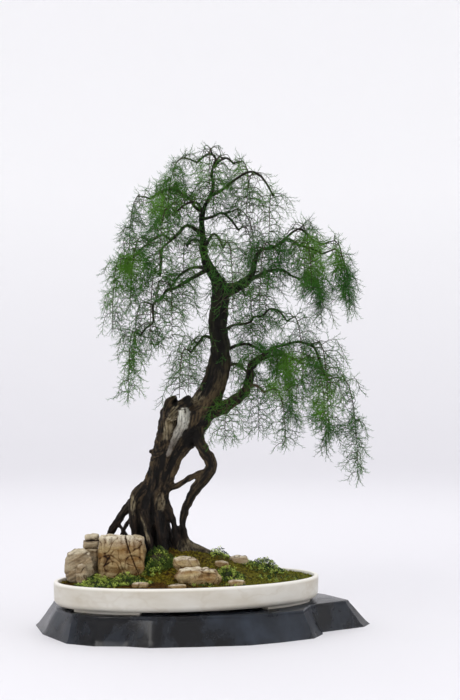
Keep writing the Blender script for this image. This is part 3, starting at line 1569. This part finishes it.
@dataclass
class GroundCover:
    """One clump of small-leaved plants: a low dome under many rosettes."""

    name: str
    x: float
    y: float
    width: float
    depth: float
    height: float
    density: float = 0.13
    spread: float = 1.4
    flank: int = 0
    flank_band: Pair = (0.72, 1.02)
    size: Pair = (4.5, 8.5)
    bright: float = 0.56
    sunk: float = 0.45
    bare_share: float = 0.94

    @staticmethod
    def rosette(draws: Draws) -> Stamp:
        """Five small pointed leaves on one short stem, for a size of one across.

        Args:
            draws: The draws.

        Returns:
            The rosette.
        """
        bm = bmesh.new()
        for leaf in range(5):
            blade = bmesh.new()
            bmesh.ops.create_uvsphere(blade, u_segments=4, v_segments=2, radius=0.5)
            long, wide = draws.between(0.55, 0.75), draws.between(0.34, 0.46)
            bmesh.ops.scale(blade, vec=(wide, long, 0.09), verts=blade.verts)
            bmesh.ops.translate(blade, vec=(0, long * 0.62, 0), verts=blade.verts)
            tilt = Matrix.Rotation(draws.between(0.2, 0.9), 4, "X")
            turn = Matrix.Rotation(leaf * GOLDEN_TURN, 4, "Z")
            bmesh.ops.transform(blade, matrix=turn @ tilt, verts=blade.verts)
            bmesh.ops.translate(blade, vec=(0, 0, 0.15 + 0.09 * leaf), verts=blade.verts)
            pour(blade, bm)
        bmesh.ops.create_cone(bm, segments=3, radius1=0.04, radius2=0.03, depth=0.9,
                              cap_ends=True)
        return Stamp.of_upright(bm)

    def dome_height(self, x: float, y: float, base: float) -> float:
        """Height of the dome's skin at an offset from its middle, in millimetres."""
        out = math.hypot(2 * x / self.width, 2 * y / self.depth)
        return base + self.height * math.sqrt(max(0.0, 1 - out * out))

    def dome(self, place: Vector, base: float) -> BMesh:
        """The dome under the leaves, at a place and from a base, in millimetres.

        Args:
            place: Where it stands.
            base: The height of its base.

        Returns:
            The dome.
        """
        dome = bmesh.new()
        bmesh.ops.create_icosphere(dome, subdivisions=3, radius=1)
        size = Vector((self.width / 2, self.depth / 2, self.height)) * MM * self.bare_share
        bmesh.ops.scale(dome, vec=size, verts=dome.verts)
        bmesh.ops.rotate(dome, cent=(0, 0, 0), matrix=Matrix.Rotation(-FRONT_TURN, 3, "Z"),
                         verts=dome.verts)
        bmesh.ops.translate(dome, vec=Vector((place.x, place.y, base)) * MM, verts=dome.verts)
        for face in dome.faces:
            face.material_index = 1
        return dome

    def build(self, draws: Draws) -> Mesh:
        """Builds the dome and sets the rosettes over it.

        Args:
            draws: The draws.

        Returns:
            The clump's mesh, with the freshness of its leaves stored on it.
        """
        place = front_point(self.x, self.y, 0) / MM
        base = soil_height(place.x, place.y) - self.height * self.sunk
        bm = bmesh.new()
        pour(self.dome(place, base), bm)
        stamps = [self.rosette(draws) for _ in range(3)]
        tones = [0.0] * len(bm.verts)
        count = round(self.width * self.depth * math.pi / 4 * self.density)
        for i in range(count):
            angle, out = i * GOLDEN_TURN, self.spread * math.sqrt((i + draws.next()) / count)
            on_flank = i % 3 < self.flank
            if on_flank:
                out = draws.between(*self.flank_band)
            x = out * self.width / 2 * math.cos(angle)
            y = out * self.depth / 2 * math.sin(angle)
            spot = front_point(self.x + x, self.y + y, 0) / MM
            ground = soil_height(spot.x, spot.y)
            rise = max(self.dome_height(x, y, base), ground)
            rise += draws.between(-1.0, 5.0) * (1.5 - 0.8 * out)
            if on_flank:
                rise = mix(ground, rise, draws.next())
            foot = Vector((spot.x, spot.y, rise)) * MM
            away = heading(math.degrees(angle)) * (1.4 if on_flank else 0.5 * out)
            sway = Vector((draws.between(-0.3, 0.3), draws.between(-0.3, 0.3), 0))
            way = (away + UP + sway).normalized()
            stamps[i % 3].place(bm, foot, way, draws.between(*self.size) * MM)
            tone = smooth_step(self.bright, self.bright + 0.15, draws.next())
            tones += [tone] * len(stamps[i % 3].corners)
        for stamp in stamps:
            stamp.drop()
        mesh = mesh_of(bm)
        write_mask(mesh, "fresh", tones)
        return mesh

    def dress(self, palette: Palette, number: int) -> None:
        """Gives the clump its finish and makes it a piece."""
        piece_of(f"{self.name}_leaves", self.build(Draws(COVER_SEED + number)),
                 [palette.cover, palette.twigs], [self.name])


COVER_SEED = 900

# The clumps in the front frame. The bush at the trunk's foot is taller and darker than the others.
COVERS = [
    GroundCover("cover_left", -172, -103, 64, 36, 22),
    GroundCover("cover_front", -120, -80, 54, 38, 22),
    GroundCover("cover_trunk", -59, -25, 54, 36, 42, 0.24, 1.25, 2, size=(5.0, 9.5), bright=0.76),
    GroundCover("cover_back", 60, 74, 38, 26, 18),
    GroundCover("cover_right", 80, -44, 46, 34, 22),
    GroundCover("cover_far", 152, 58, 58, 36, 20),
]

# Where loose leaves grow in the front frame: x, y, half width, half depth and how many
LOOSE_LEAVES = [
    (-178, -98, 34, 20, 120), (-112, -92, 44, 14, 130), (-186, -60, 8, 12, 26),
    (-70, -48, 20, 12, 40), (-36, -18, 12, 12, 26), (60, 40, 24, 20, 40), (86, -40, 26, 16, 50),
    (150, 30, 50, 34, 110), (180, -20, 40, 40, 50), (60, -112, 60, 14, 30),
]


@dataclass
class LooseLeaves:
    """Rosettes that stand singly in the moss between the clumps."""

    seed: int = 41
    size: Pair = (4.0, 7.5)

    def dress(self, palette: Palette) -> None:
        """Sets the rosettes and makes them a piece.

        Args:
            palette: Every material.
        """
        draws = Draws(self.seed)
        stamps = [GroundCover.rosette(draws) for _ in range(3)]
        bm = bmesh.new()
        tones: list[float] = []
        for x, y, wide, deep, count in LOOSE_LEAVES:
            for i in range(count):
                angle, out = draws.in_round()
                spot = front_point(x + wide * out * math.cos(angle),
                                   y + deep * out * math.sin(angle), 0) / MM
                foot = Vector((spot.x, spot.y, soil_height(spot.x, spot.y) + 1.0)) * MM
                stamps[i % 3].place(bm, foot, draws.leaning(), draws.between(*self.size) * MM)
                tones += [smooth_step(0.5, 0.75, draws.next())] * len(stamps[i % 3].corners)
        for stamp in stamps:
            stamp.drop()
        mesh = mesh_of(bm)
        write_mask(mesh, "fresh", tones)
        piece_of("loose_leaves", mesh, [palette.cover])


@dataclass(frozen=True)
class FrontPlace:
    """A leaning oval place on the trunk's front, in millimetres of the front frame."""

    x: float
    z: float
    wide: float
    high: float
    lean: float = 0.0
    depth: float = 0.0
    strength: float = 1.0

    def share(self, x: float, z: float) -> float:
        """How far inside it a point is: 0 at its edge and outside, 1 in its middle."""
        c, s = math.cos(math.radians(self.lean)), math.sin(math.radians(self.lean))
        right, up = x - self.x, z - self.z
        out = ((right * c - up * s) / self.wide) ** 2 + ((right * s + up * c) / self.high) ** 2
        return max(0.0, 1.0 - out)


BARE_LIMB = "deadwood"

# The wood behind the deadwood, which joins the stub to the trunk: x, y, z and radius
SADDLE: list[Row] = [(-40, 16, 424, 12), (-16, 18, 445, 14), (8, 14, 460, 12)]

# Hollows of the trunk's front, and places where its bark is worn smooth
HOLLOWS = [
    FrontPlace(-26, 454, 7, 9, 15, 12), FrontPlace(-73, 236, 6, 34, 0, 10),
    FrontPlace(-51, 214, 4.5, 24, 0, 8), FrontPlace(-94, 186, 8, 34, 0, 9),
    FrontPlace(-35, 202, 4, 9, 0, 12), FrontPlace(-40, 172, 5, 24, 0, 8),
    FrontPlace(-66, 176, 5, 22, 0, 8), FrontPlace(-80, 318, 4, 14, 0, 4),
    FrontPlace(6, 384, 20, 26, 30, 1, 0.75), FrontPlace(-62, 300, 4, 30, 8, 5, 0.8),
    FrontPlace(-13, 190, 3.5, 12, 0, 6), FrontPlace(-2, 460, 10, 12, 0, 3, 0.8),
]
WORN_PLACES = [
    FrontPlace(-35, 416, 13, 46, 17), FrontPlace(22, 470, 13, 28, 32, strength=0.8),
    FrontPlace(-112, 247, 7, 26, strength=0.8), FrontPlace(-55, 252, 14, 22, strength=0.5),
    FrontPlace(-86, 198, 5, 30, -20, strength=0.7), FrontPlace(26, 160, 60, 26, strength=0.55),
]


@dataclass
class FrontMarks:
    """What the places on the trunk's front do to one of its points."""

    push: float = 0.0
    dark: float = 0.0
    worn: float = 0.0

    @classmethod
    def at(cls, vertex: bpy.types.MeshVertex) -> "FrontMarks":
        """The marks at a vertex: how far it is pushed back, how dark it is and how worn.

        Args:
            vertex: The wood's vertex.

        Returns:
            Its marks.
        """
        marks = cls()
        if vertex.normal.dot(heading(90)) > -0.1:
            return marks
        x, z = to_the_right(vertex.co), vertex.co.z / MM
        for place in HOLLOWS:
            share = place.share(x, z)
            marks.push = max(marks.push, place.depth * share)
            marks.dark = max(marks.dark, min(1.0, 1.6 * share) * place.strength)
        for place in WORN_PLACES:
            share = place.share(x, z)
            if share > 0:
                ragged = 1.8 * share + 0.9 * noise.noise(vertex.co * 130) - 0.2
                marks.worn = max(marks.worn, min(1.0, ragged) * place.strength)
        return marks


@dataclass
class Strand:
    """A fluted trunk strand whose flutes wind round it."""

    depth: float = 0.15
    lobes: int = 3
    wind: float = 21.0

    def __call__(self, turn: float, run: float) -> float:
        """The factor on the radius at a turn round the strand and a run along it."""
        flute = math.cos(self.lobes * turn + self.wind * run)
        rib = math.cos(5 * turn - 1.4 * self.wind * run + 1.3)
        return 1 + self.depth * flute + 0.05 * rib


@dataclass
class Wood:
    """The tree's wood: the trunk, roots and thick boughs as one skin, and the thin boughs."""

    voxel: float = 2.3 * MM
    thin: float = 4.6 * MM
    ring_step: float = 4.0 * MM
    fissure: float = 1.9 * MM
    fissure_scale: float = 190.0
    fissure_stretch: float = 0.12
    plate: float = 1.5 * MM
    burl: float = 3.0 * MM
    plate_scale: float = 330.0
    groove: float = 1.3 * MM
    groove_scale: float = 300.0
    stump: float = 0.05
    overlap: float = 0.02
    root_lap: float = 0.03
    dry_edge: Pair = (1.0, 1.28)
    dry_edge_scale: float = 110.0
    burl_scale: float = 75.0
    fine_scale: float = 400.0
    full_relief: float = 20.0 * MM

    @staticmethod
    def knotted(seed: float) -> Swell:
        """A limb with slight knots, from a seed."""
        def swell(turn: float, run: float) -> float:
            """The factor at a turn round the limb and a run along it."""
            knot = noise.noise(Vector((run * 60, seed * 7.3, 0)))
            lump = noise.noise(Vector((math.cos(turn), math.sin(turn), run * 90 + seed)))
            return 1 + 0.12 * knot + 0.1 * lump
        return swell

    def rings(self, way: Way, start: float = 0.0, end: float = 1.0) -> list[Spot]:
        """A limb's rings, set evenly."""
        return way.spots(max(3, round(way.length * (end - start) / self.ring_step)), start, end)

    def thick_parts(self) -> tuple[BMesh, list[tuple[str, list[Spot]]]]:
        """The strands, stems, roots and thick ends of boughs, and each one's rings by name.

        Returns:
            The mesh, and the rings.
        """
        limbs = [(name, rows, 40, Strand()) for name, rows in TRUNK_LIMBS.items()]
        limbs += [(name, rows, 20, self.knotted(number))
                  for number, (name, rows) in enumerate(STEM_AND_ROOTS.items())]
        limbs += [(name, rows, 16, self.knotted(number + 20))
                  for number, (name, rows) in enumerate(BOUGHS.items())]
        limbs.append(("saddle", SADDLE, 20, self.knotted(40)))
        bm = bmesh.new()
        courses = []
        for name, rows, sides, swell in limbs:
            way, end = Way.of_rows(rows), 1.0
            if name in BOUGHS:
                end = way.share_thinner(self.thin)
                if end < self.stump:
                    continue
                end = min(1.0, end + self.overlap)
            courses.append((name, self.rings(way, 0, end)))
            add_limb(bm, courses[-1][1], sides, swell)
        return bm, courses

    def trunk(self) -> Mesh:
        """Joins the thick parts under one skin and gives it bark and bare wood.

        Returns:
            The trunk's mesh, with its masks stored on it.
        """
        bm, courses = self.thick_parts()
        mesh = remeshed(mesh_of(bm), self.voxel, 2)
        owners = [(name, spot, i * self.ring_step) for name, spots in courses
                  for i, spot in enumerate(spots)]
        tree = tree_of({i: spot.centre for i, (_, spot, _) in enumerate(owners)})
        dead = tree_of({i: spot.centre for i, (name, spot, _) in enumerate(owners)
                        if name == BARE_LIMB})
        strand = Strand()
        places, relief, bare, worn = [], [], [], []
        for v in mesh.vertices:
            nearest = min(tree.find_n(v.co, 4), key=lambda hit: hit[2] - owners[hit[1]][1].radius)
            name, spot, run = owners[nearest[1]]
            offset = v.co - spot.centre
            flow = Vector((offset.dot(spot.across), offset.dot(spot.over),
                           (run + offset.dot(spot.along)) * self.fissure_stretch))
            coarse = noise.noise(flow * self.fissure_scale)
            ridge = (1 - min(1.0, abs(coarse) * 2.4)) ** 1.5
            fine = (0.35 * noise.noise(v.co * self.plate_scale)
                    + noise.noise(flow * self.fine_scale))
            groove = 1 - min(1.0, abs(noise.noise(flow * self.groove_scale)) * 3)
            _, index, gap = dead.find(v.co)
            over = (gap / owners[index][1].radius
                    + 0.3 * noise.noise(v.co * self.dry_edge_scale))
            in_front = smooth_step(-0.3, 0.3, -(v.co - owners[index][1].centre).normalized().y)
            marks = FrontMarks.at(v)
            dry = in_front * (1 - smooth_step(*self.dry_edge, over)) * (1 - marks.dark)
            size = min(1.0, math.sqrt(spot.radius / self.full_relief)) * (1 - 0.7 * marks.worn)
            burl = noise.noise(v.co * self.burl_scale)
            rough = self.plate * fine - self.fissure * ridge + self.burl * burl
            move = mix(size * rough, -self.groove * groove, dry)
            places.append(v.co + v.normal * move + heading(90) * (marks.push * MM))
            flute = 0.0
            if name in TRUNK_LIMBS:
                turn = math.atan2(offset.dot(spot.over), offset.dot(spot.across))
                flute = strand(turn, run) - 1
            bright = 0.5 + 2.2 * flute - 0.5 * ridge + 0.55 * fine + 0.3 * marks.worn
            bright = mix(bright, 0.95 - 0.6 * groove + 0.3 * fine, dry)
            relief.append(clamped(bright) * (1 - marks.dark))
            bare.append(dry)
            worn.append(marks.worn)
        move_to(mesh, places)
        for mask, values in (("relief", relief), ("bare", bare), ("worn", worn)):
            write_mask(mesh, mask, values)
        return mesh

    def thin_boughs(self) -> Mesh:
        """The thin ends of the boughs, and the short leading twigs that carry the sprays.

        Returns:
            Their mesh.
        """
        bm = bmesh.new()
        for number, rows in enumerate(BOUGHS.values()):
            way = Way.of_rows(rows)
            start = way.share_thinner(self.thin)
            spots = self.rings(way, max(0.0, start - self.root_lap))
            add_limb(bm, spots, 8, self.knotted(number + 50))
        for row in SPRAYS:
            start, _, end = lead_of(row)
            add_limb(bm, Way([start, (start + end) / 2, end],
                             [2.3 * MM, 2 * MM, 1.8 * MM]).spots(4), 6)
        mesh = mesh_of(bm)
        for mask, value in (("relief", 0.7), ("bare", 0.0), ("worn", 0.0)):
            write_mask(mesh, mask, [value] * len(mesh.vertices))
        return mesh

    def dress(self, palette: Palette) -> None:
        """Gives the wood its finish and makes it two pieces."""
        piece_of("trunk_wood", self.trunk(), [palette.bark], ["trunk"])
        piece_of("bough_wood", self.thin_boughs(), [palette.bark], ["trunk"])


SprayRow = tuple[str, float, float, float, float]
Bend = Sequence[Pair]
# A twig's line, its rings, its sides and the share of it, from its root, that is bare
Twig = tuple[Way, int, int, float]

# A filling twig's bend, and the share of a limb, from its root, that bears no twigs
FILL_BEND: Bend = ((0.5, 0.05), (0.86, 0.38))
LEAFLESS = {"mainStem": 0.58, "lowerRight": 0.24, "rightBough": 0.4}

# Places of fresh growth in the front frame: x, z and reach
FRESH_GROWTH = [
    (-68, 853, 38), (-116, 726, 38), (23, 914, 28), (110, 920, 26), (262, 752, 58),
    (205, 530, 36), (181, 483, 32), (270, 459, 42), (13, 738, 24),
]

# Where the foliage is thinner or thicker, in the front frame: x, z, reach, and the share of
# branchlets that are left out (below 0) or added
GROWTH = [
    (62, 950, 40, -0.9), (136, 912, 34, -0.8), (124, 820, 46, -0.8), (0, 862, 44, -0.6),
    (-100, 866, 24, -0.9), (-28, 768, 26, -0.8), (-134, 762, 28, -0.7), (212, 800, 30, -0.9),
    (296, 772, 26, -0.7), (-54, 690, 26, -0.9), (-74, 630, 44, -0.8), (140, 662, 40, -0.4),
    (258, 566, 34, -0.6), (330, 450, 34, -0.6), (-10, 464, 32, -1.6), (92, 466, 30, -0.6),
    (60, 650, 46, -0.7), (68, 590, 50, -0.5),
    (-82, 824, 48, 1.6), (-18, 906, 36, 1.0), (92, 890, 34, 0.8), (8, 806, 24, 0.6),
    (-110, 714, 56, 1.4), (32, 686, 22, 0.6), (288, 700, 58, 1.4), (190, 744, 26, 0.7),
    (250, 676, 44, 0.9), (148, 584, 62, 1.0), (100, 552, 40, 0.8), (178, 512, 40, 0.8),
    (214, 484, 70, 0.4), (240, 440, 46, 1.0), (306, 410, 42, 1.2), (108, 386, 40, 0.8),
]


def branchlets_at(place: Vector, draw: float) -> int:
    """How many branchlets grow at a place of a twig, by a draw."""
    across = to_the_right(place)
    change = sum(
        more * max(0.0, 1 - ((across - x) ** 2 + (place.z / MM - z) ** 2) / reach**2)
        for x, z, reach, more in GROWTH
    )
    return max(0, math.floor(1 + change + draw))


def lead_of(row: SprayRow) -> tuple[Vector, Vector, Vector]:
    """A spray's leading twig: where it starts, its direction and its end."""
    rows, place = BOUGHS[row[0]], row[1] * (len(BOUGHS[row[0]]) - 1)
    before = min(int(place), len(rows) - 2)
    a, b = (front_point(*rows[i][:3]) for i in (before, before + 1))
    start, direction = a.lerp(b, place - before), heading(row[2], LEAD_SLOPE)
    return start, direction, start + direction * (LEAD_LENGTH * MM)


def freshness(mesh: Mesh) -> Sequence[float]:
    """How fresh and yellow-green the growth is at each of a mesh's vertices, from 0 to 1.

    Args:
        mesh: The mesh.

    Returns:
        One value a vertex.
    """
    places = np.empty(len(mesh.vertices) * 3)
    mesh.vertices.foreach_get("co", places)
    x, y, z = places.reshape(-1, 3).T / MM
    across = x * FRONT_COS - y * FRONT_SIN
    fresh = np.zeros(len(mesh.vertices))
    for centre, height, reach in FRESH_GROWTH:
        away = ((across - centre) ** 2 + (z - height) ** 2) / reach**2
        fresh = np.maximum(fresh, 0.75 * np.clip(1.2 - away, 0, 1))
    return fresh


@dataclass
class Leaves:
    """How branchlets sit along a leafy twig: close together and turning round it."""

    sprigs: Sequence[Stamp]
    spacing: float = 3.1 * MM
    size: Pair = (13 * MM, 25 * MM)
    lean: Pair = (0.6, 1.25)
    rise: float = 0.06

    def along(self, bm: BMesh, way: Way, draws: Draws, bare: float) -> None:
        """Sets branchlets along a twig.

        Args:
            bm: The mesh that they are added to.
            way: The twig.
            draws: The draws.
            bare: Share of the twig, from its root, that bears none.
        """
        count = max(3, round(way.length * (1 - bare) / self.spacing))
        for i, spot in enumerate(way.spots(count, bare, 1.0)):
            for again in range(branchlets_at(spot.centre, draws.next())):
                turn = (i + 0.5 * again) * GOLDEN_TURN + draws.between(-0.4, 0.4)
                outward = spot.across * math.cos(turn) + spot.over * math.sin(turn)
                lean = draws.between(*self.lean) * (1 - 0.5 * (i / count) ** 4)
                direction = spot.along * math.cos(lean) + outward * math.sin(lean)
                direction = (direction + UP * self.rise).normalized()
                sprig = self.sprigs[(i + again) % len(self.sprigs)]
                sprig.place(bm, spot.centre, direction, draws.between(*self.size))

    def clothe(self, twigs: Sequence[Twig], draws: Draws) -> Mesh:
        """Lays twigs and sets the branchlets along them.

        Args:
            twigs: The twigs.
            draws: The draws.

        Returns:
            The mesh, with the freshness of its growth stored on it.
        """
        bm = bmesh.new()
        for way, rings, sides, bare in twigs:
            add_limb(bm, way.spots(rings), sides, material=1)
            self.along(bm, way, draws, bare)
        mesh = mesh_of(bm)
        write_mask(mesh, "fresh", freshness(mesh))
        return mesh


@dataclass
class Spray:
    """One hanging spray: its stem, its side twigs and hundreds of fine branchlets."""

    number: int
    row: SprayRow
    fill_step: float = 7.3 * MM
    fill_turn: Pair = (55.0, 155.0)
    fill_length: Pair = (30.0, 56.0)

    def stem(self) -> Way:
        """The stem: out and a little up from its root, then over and down.

        Returns:
            The stem.
        """
        _, direction, end = lead_of(self.row)
        _, _, turn, reach, drop = self.row
        out = heading(turn)
        root = end + direction * (SEAT_GAP * MM)
        points = [root, root + direction * (ROOT_LENGTH * MM)]
        points += [
            root + out * (reach * share * MM) + UP * ((reach * rise - drop * fall) * MM)
            for share, rise, fall in STEM_BEND
        ]
        return Way(points, [mix(1.6, 0.6, i / 6) * MM for i in range(7)])

    @staticmethod
    def twig(
        start: Vector, turn: float, length: float, lift: float = 0.0, bend: Bend = TWIG_BEND
    ) -> Way:
        """A side twig: out, then over and down.

        Args:
            start: Its root.
            turn: Its heading in degrees.
            length: Its length in millimetres.
            lift: How much it rises before it falls, as a share of its length.
            bend: Its places out and down as shares of its length.

        Returns:
            The twig.
        """
        aside = heading(turn)
        way = [(0.0, 0.0), *bend]
        points = [
            start + aside * (length * out * MM) - UP * (length * (down - lift * math.sin(
                math.pi * i / 2)) * MM)
            for i, (out, down) in enumerate(way)
        ]
        return Way(points, [1.0 * MM, 0.75 * MM, 0.45 * MM])

    def ways(self, draws: Draws) -> list[Way]:
        """The stem and all its side twigs.

        Args:
            draws: The draws.

        Returns:
            The stem, then the side twigs.
        """
        stem = self.stem()
        half = WHORL_HEIGHT / 2 * MM / stem.length
        found = [stem]
        for whorl, turn in FORKS:
            middle = 1 - half - LEAFY_SHARE * ((WHORLS - 1 - whorl) / WHORLS)
            start = stem.at(middle + half * LEAFY_SHARE).centre
            way = self.row[2] + turn * draws.between(0.8, 1.2)
            found.append(self.twig(start, way, draws.between(*TWIG_LENGTH)))
        count = round(stem.length / self.fill_step)
        for i in range(count):
            share = mix(0.04, 0.94, (i + draws.next()) / count)
            side = (1 if i % 2 else -1) * draws.between(*self.fill_turn)
            lift = draws.between(0.0, 0.34) * (1 - share)
            length = draws.between(*self.fill_length) * (1 - 0.3 * share)
            found.append(self.twig(stem.at(share).centre, self.row[2] + side, length, lift,
                                   FILL_BEND))
        return found

    def dress(self, palette: Palette, leaves: Leaves) -> None:
        """Clothes the spray, gives it its finish and makes it a piece."""
        draws = Draws(TWIG_SEED + self.number)
        stem, *twigs = self.ways(draws)
        mesh = leaves.clothe([(stem, 12, 5, 0.1), *((way, 5, 3, 0.04) for way in twigs)], draws)
        node = f"spray_{self.number + 1:02d}"
        piece_of(f"{node}_branchlets", mesh, [palette.foliage, palette.twigs],
                 [node])


@dataclass
class BoughTwigs:
    """Short leafy twigs straight from the boughs and the upper trunk, among the sprays."""

    name: str
    limbs: Sequence[str]
    spacing: float = 15.0 * MM
    length: Pair = (26.0, 54.0)
    turn: Pair = (50.0, 155.0)
    lift: Pair = (0.0, 0.35)
    seed: int = 300
    bend: Bend = FILL_BEND
    bare: float = 0.12
    last: float = 0.98

    def ways(self, draws: Draws) -> list[Way]:
        """The twigs of each limb in turn, from side to side of it.

        Args:
            draws: The draws.

        Returns:
            The twigs.
        """
        found = []
        for limb in self.limbs:
            way = Way.of_rows(BOUGHS.get(limb) or TRUNK_LIMBS[limb])
            first = max(self.bare, LEAFLESS.get(limb, 0.0))
            count = round(way.length * (1 - first) / self.spacing)
            for i, spot in enumerate(way.spots(count, first, self.last)):
                ahead = math.degrees(math.atan2(spot.along.dot(heading(90)),
                                                spot.along.dot(heading(0))))
                side = (1 if i % 2 else -1) * draws.between(*self.turn)
                found.append(Spray.twig(spot.centre, ahead + side, draws.between(*self.length),
                                        draws.between(*self.lift), self.bend))
        return found

    def dress(self, palette: Palette, leaves: Leaves) -> None:
        """Lays the twigs, sets their branchlets and makes them a piece."""
        draws = Draws(self.seed)
        mesh = leaves.clothe([(way, 5, 3, 0.1) for way in self.ways(draws)], draws)
        piece_of(self.name, mesh, [palette.foliage, palette.twigs])


@dataclass
class Crown:
    """All the foliage: the branchlets that it is made of, the twigs and every spray."""

    kinds: int = 5
    needles: int = 6
    thickness: float = 0.026
    needle_length: Pair = (0.2, 0.38)
    seed: int = 7

    def sprig(self, draws: Draws) -> Stamp:
        """A branchlet with finer ones along it, of length one.

        Args:
            draws: The draws.

        Returns:
            The branchlet.
        """
        bm = bmesh.new()
        add_spike(bm, self.thickness, 1, Matrix.Translation((0, 0, 0.5)))
        for i in range(self.needles):
            run = mix(0.08, 0.86, (i + draws.between(0.2, 0.8)) / self.needles)
            length = draws.between(*self.needle_length)
            tilt = Matrix.Rotation(draws.between(0.45, 0.85), 4, "X")
            turn = Matrix.Rotation(i * GOLDEN_TURN, 4, "Z")
            needle = Matrix.Translation((0, 0, run)) @ turn @ tilt @ Matrix.Translation(
                (0, 0, length / 2))
            add_spike(bm, self.thickness * 0.75, length, needle)
        bmesh.ops.remove_doubles(bm, verts=bm.verts, dist=1e-5)
        return Stamp.of_upright(bm)

    def dress(self, palette: Palette) -> None:
        """Builds the twigs and every spray, and makes each a piece.

        Args:
            palette: Every material.
        """
        draws = Draws(self.seed)
        leaves = Leaves([self.sprig(draws) for _ in range(self.kinds)])
        for number, row in enumerate(SPRAYS):
            Spray(number, row).dress(palette, leaves)
        for twigs in BOUGH_TWIGS:
            twigs.dress(palette, leaves)
        for stamp in leaves.sprigs:
            stamp.drop()


BOUGH_TWIGS = [
    BoughTwigs("inner_twigs_left", ["leftUpper", "leftMid", "leftMidFork", "leftLow", "leftSmall",
                                    "leftBack", "leftFront", "backUpper"]),
    BoughTwigs("inner_twigs_right", ["rightBough", "rightBackBough", "rightArch", "upperRight",
                                     "midRightBack", "midRight", "frontUpper", "backRight"],
               lift=(0.0, 0.12), seed=320),
    BoughTwigs("inner_twigs_low", ["lowerRight", "lowerRightBack", "loopBough", "backLow",
                                   "frontLow"], seed=340),
    BoughTwigs("inner_twigs_trunk", ["mainStem"], 12.0 * MM, (34.0, 70.0), (20.0, 170.0),
               (0.0, 0.15), 360),
    BoughTwigs("inner_twigs_top", ["apexBough", "apexRight"], 18.0 * MM, (18.0, 32.0),
               (20.0, 150.0), (0.1, 0.4), 380),
    BoughTwigs("inner_twigs_shoulder", ["leftUpper", "leftFront"], 12.0 * MM, (34.0, 66.0),
               (25.0, 130.0), (0.3, 0.6), 400),
    BoughTwigs("inner_twigs_hanging", ["rightArch", "rightBough", "leftMidFork", "leftUpper",
                                       "lowerRight", "lowerRightBack"],
               11.0 * MM, (56.0, 96.0), (25.0, 150.0), (0.0, 0.2), 420, TWIG_BEND, 0.5),
]


@dataclass
class Studio:
    """The pale round studio, its soft lights and the camera."""

    radius: float = 7.0
    wall: float = 5.0
    camera_place: tuple[float, float, float] = (-0.8288, -3.1953, 0.560)
    camera_way: tuple[float, float, float] = (0.2756, 0.9613, 0.0)
    lens: float = 84.86

    def floor(self) -> None:
        """A pale floor that curves up into a wall all round."""
        bend = self.radius * 0.4
        curve = [(self.radius - bend + bend * math.sin(t), bend - bend * math.cos(t))
                 for t in (i * math.pi / 24 for i in range(13))]
        profile = [(0.0, 0.0), *curve, (self.radius, self.wall)]
        mesh = mesh_of(spin(profile, 96, 1e-5))
        mesh.polygons.foreach_set("use_smooth", [True] * len(mesh.polygons))
        pale = Finish("studio_floor", 0.1, 0.9)
        rise = pale.ramp(pale.axis(2), 0.0, 1.5)
        pale.feed("Base Color", pale.blend(rise, "e8e7ea", "fbfbfb"))
        mesh.materials.append(pale.material)
        set_up("studio_floor", mesh)

    def light(self, name: str, place: Row, size: float, power: float, tint: Row) -> None:
        """Hangs one square light that faces the tree.

        Args:
            name: The light's name.
            place: Where it hangs, in metres.
            size: Length of its side.
            power: Its power in watts.
            tint: Its colour.
        """
        lamp = bpy.data.lights.new(name, "AREA")
        lamp.size, lamp.energy, lamp.color = size, power, tint
        holder = set_up(name, lamp)
        holder.location = place
        aim = Vector((0, 0, 0.45)) - Vector(place)
        holder.rotation_euler = aim.to_track_quat("-Z", "Y").to_euler()
        holder.visible_camera = False

    def build(self) -> None:
        """Sets up the floor, the light and the camera."""
        self.floor()
        world = bpy.data.worlds.new("studio_sky")
        world.use_nodes = True
        sky = world.node_tree.nodes["Background"]
        sky.inputs[0].default_value = (0.97, 0.965, 1.0, 1.0)
        sky.inputs[1].default_value = 1.05
        bpy.context.scene.world = world
        self.light("key", (-1.9, -2.3, 2.9), 1.6, 38.0, (1.0, 0.98, 0.95))
        self.light("fill", (2.6, -1.6, 1.5), 2.2, 8.0, (0.95, 0.97, 1.0))
        self.light("back", (0.8, 2.6, 2.6), 2.0, 12.0, (1.0, 1.0, 1.0))
        lens = bpy.data.cameras.new("camera")
        lens.lens, lens.sensor_width = self.lens, 36.0
        camera = set_up("camera", lens)
        camera.location = self.camera_place
        camera.rotation_euler = Vector(self.camera_way).to_track_quat("-Z", "Y").to_euler()
        bpy.context.scene.camera = camera
        bpy.context.scene.view_settings.view_transform = "Standard"


def main() -> None:
    """Loads the frame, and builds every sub-assembly over it."""
    logging.basicConfig(level=logging.INFO, format="%(message)s", stream=sys.stdout)
    noise.seed_set(NOISE_SEED)
    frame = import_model()
    solids = frame["nodes"]
    Studio().build()
    palette = Palette()
    Stand().dress(palette)
    Tray().dress(palette)
    MossBed().dress(palette)
    for rock in ROCKS:
        rock.dress(palette, solids[rock.name])
    for number, cover in enumerate(COVERS):
        cover.dress(palette, number)
    LooseLeaves().dress(palette)
    Wood().dress(palette)
    Crown().dress(palette)


if __name__ == "__main__":
    main()
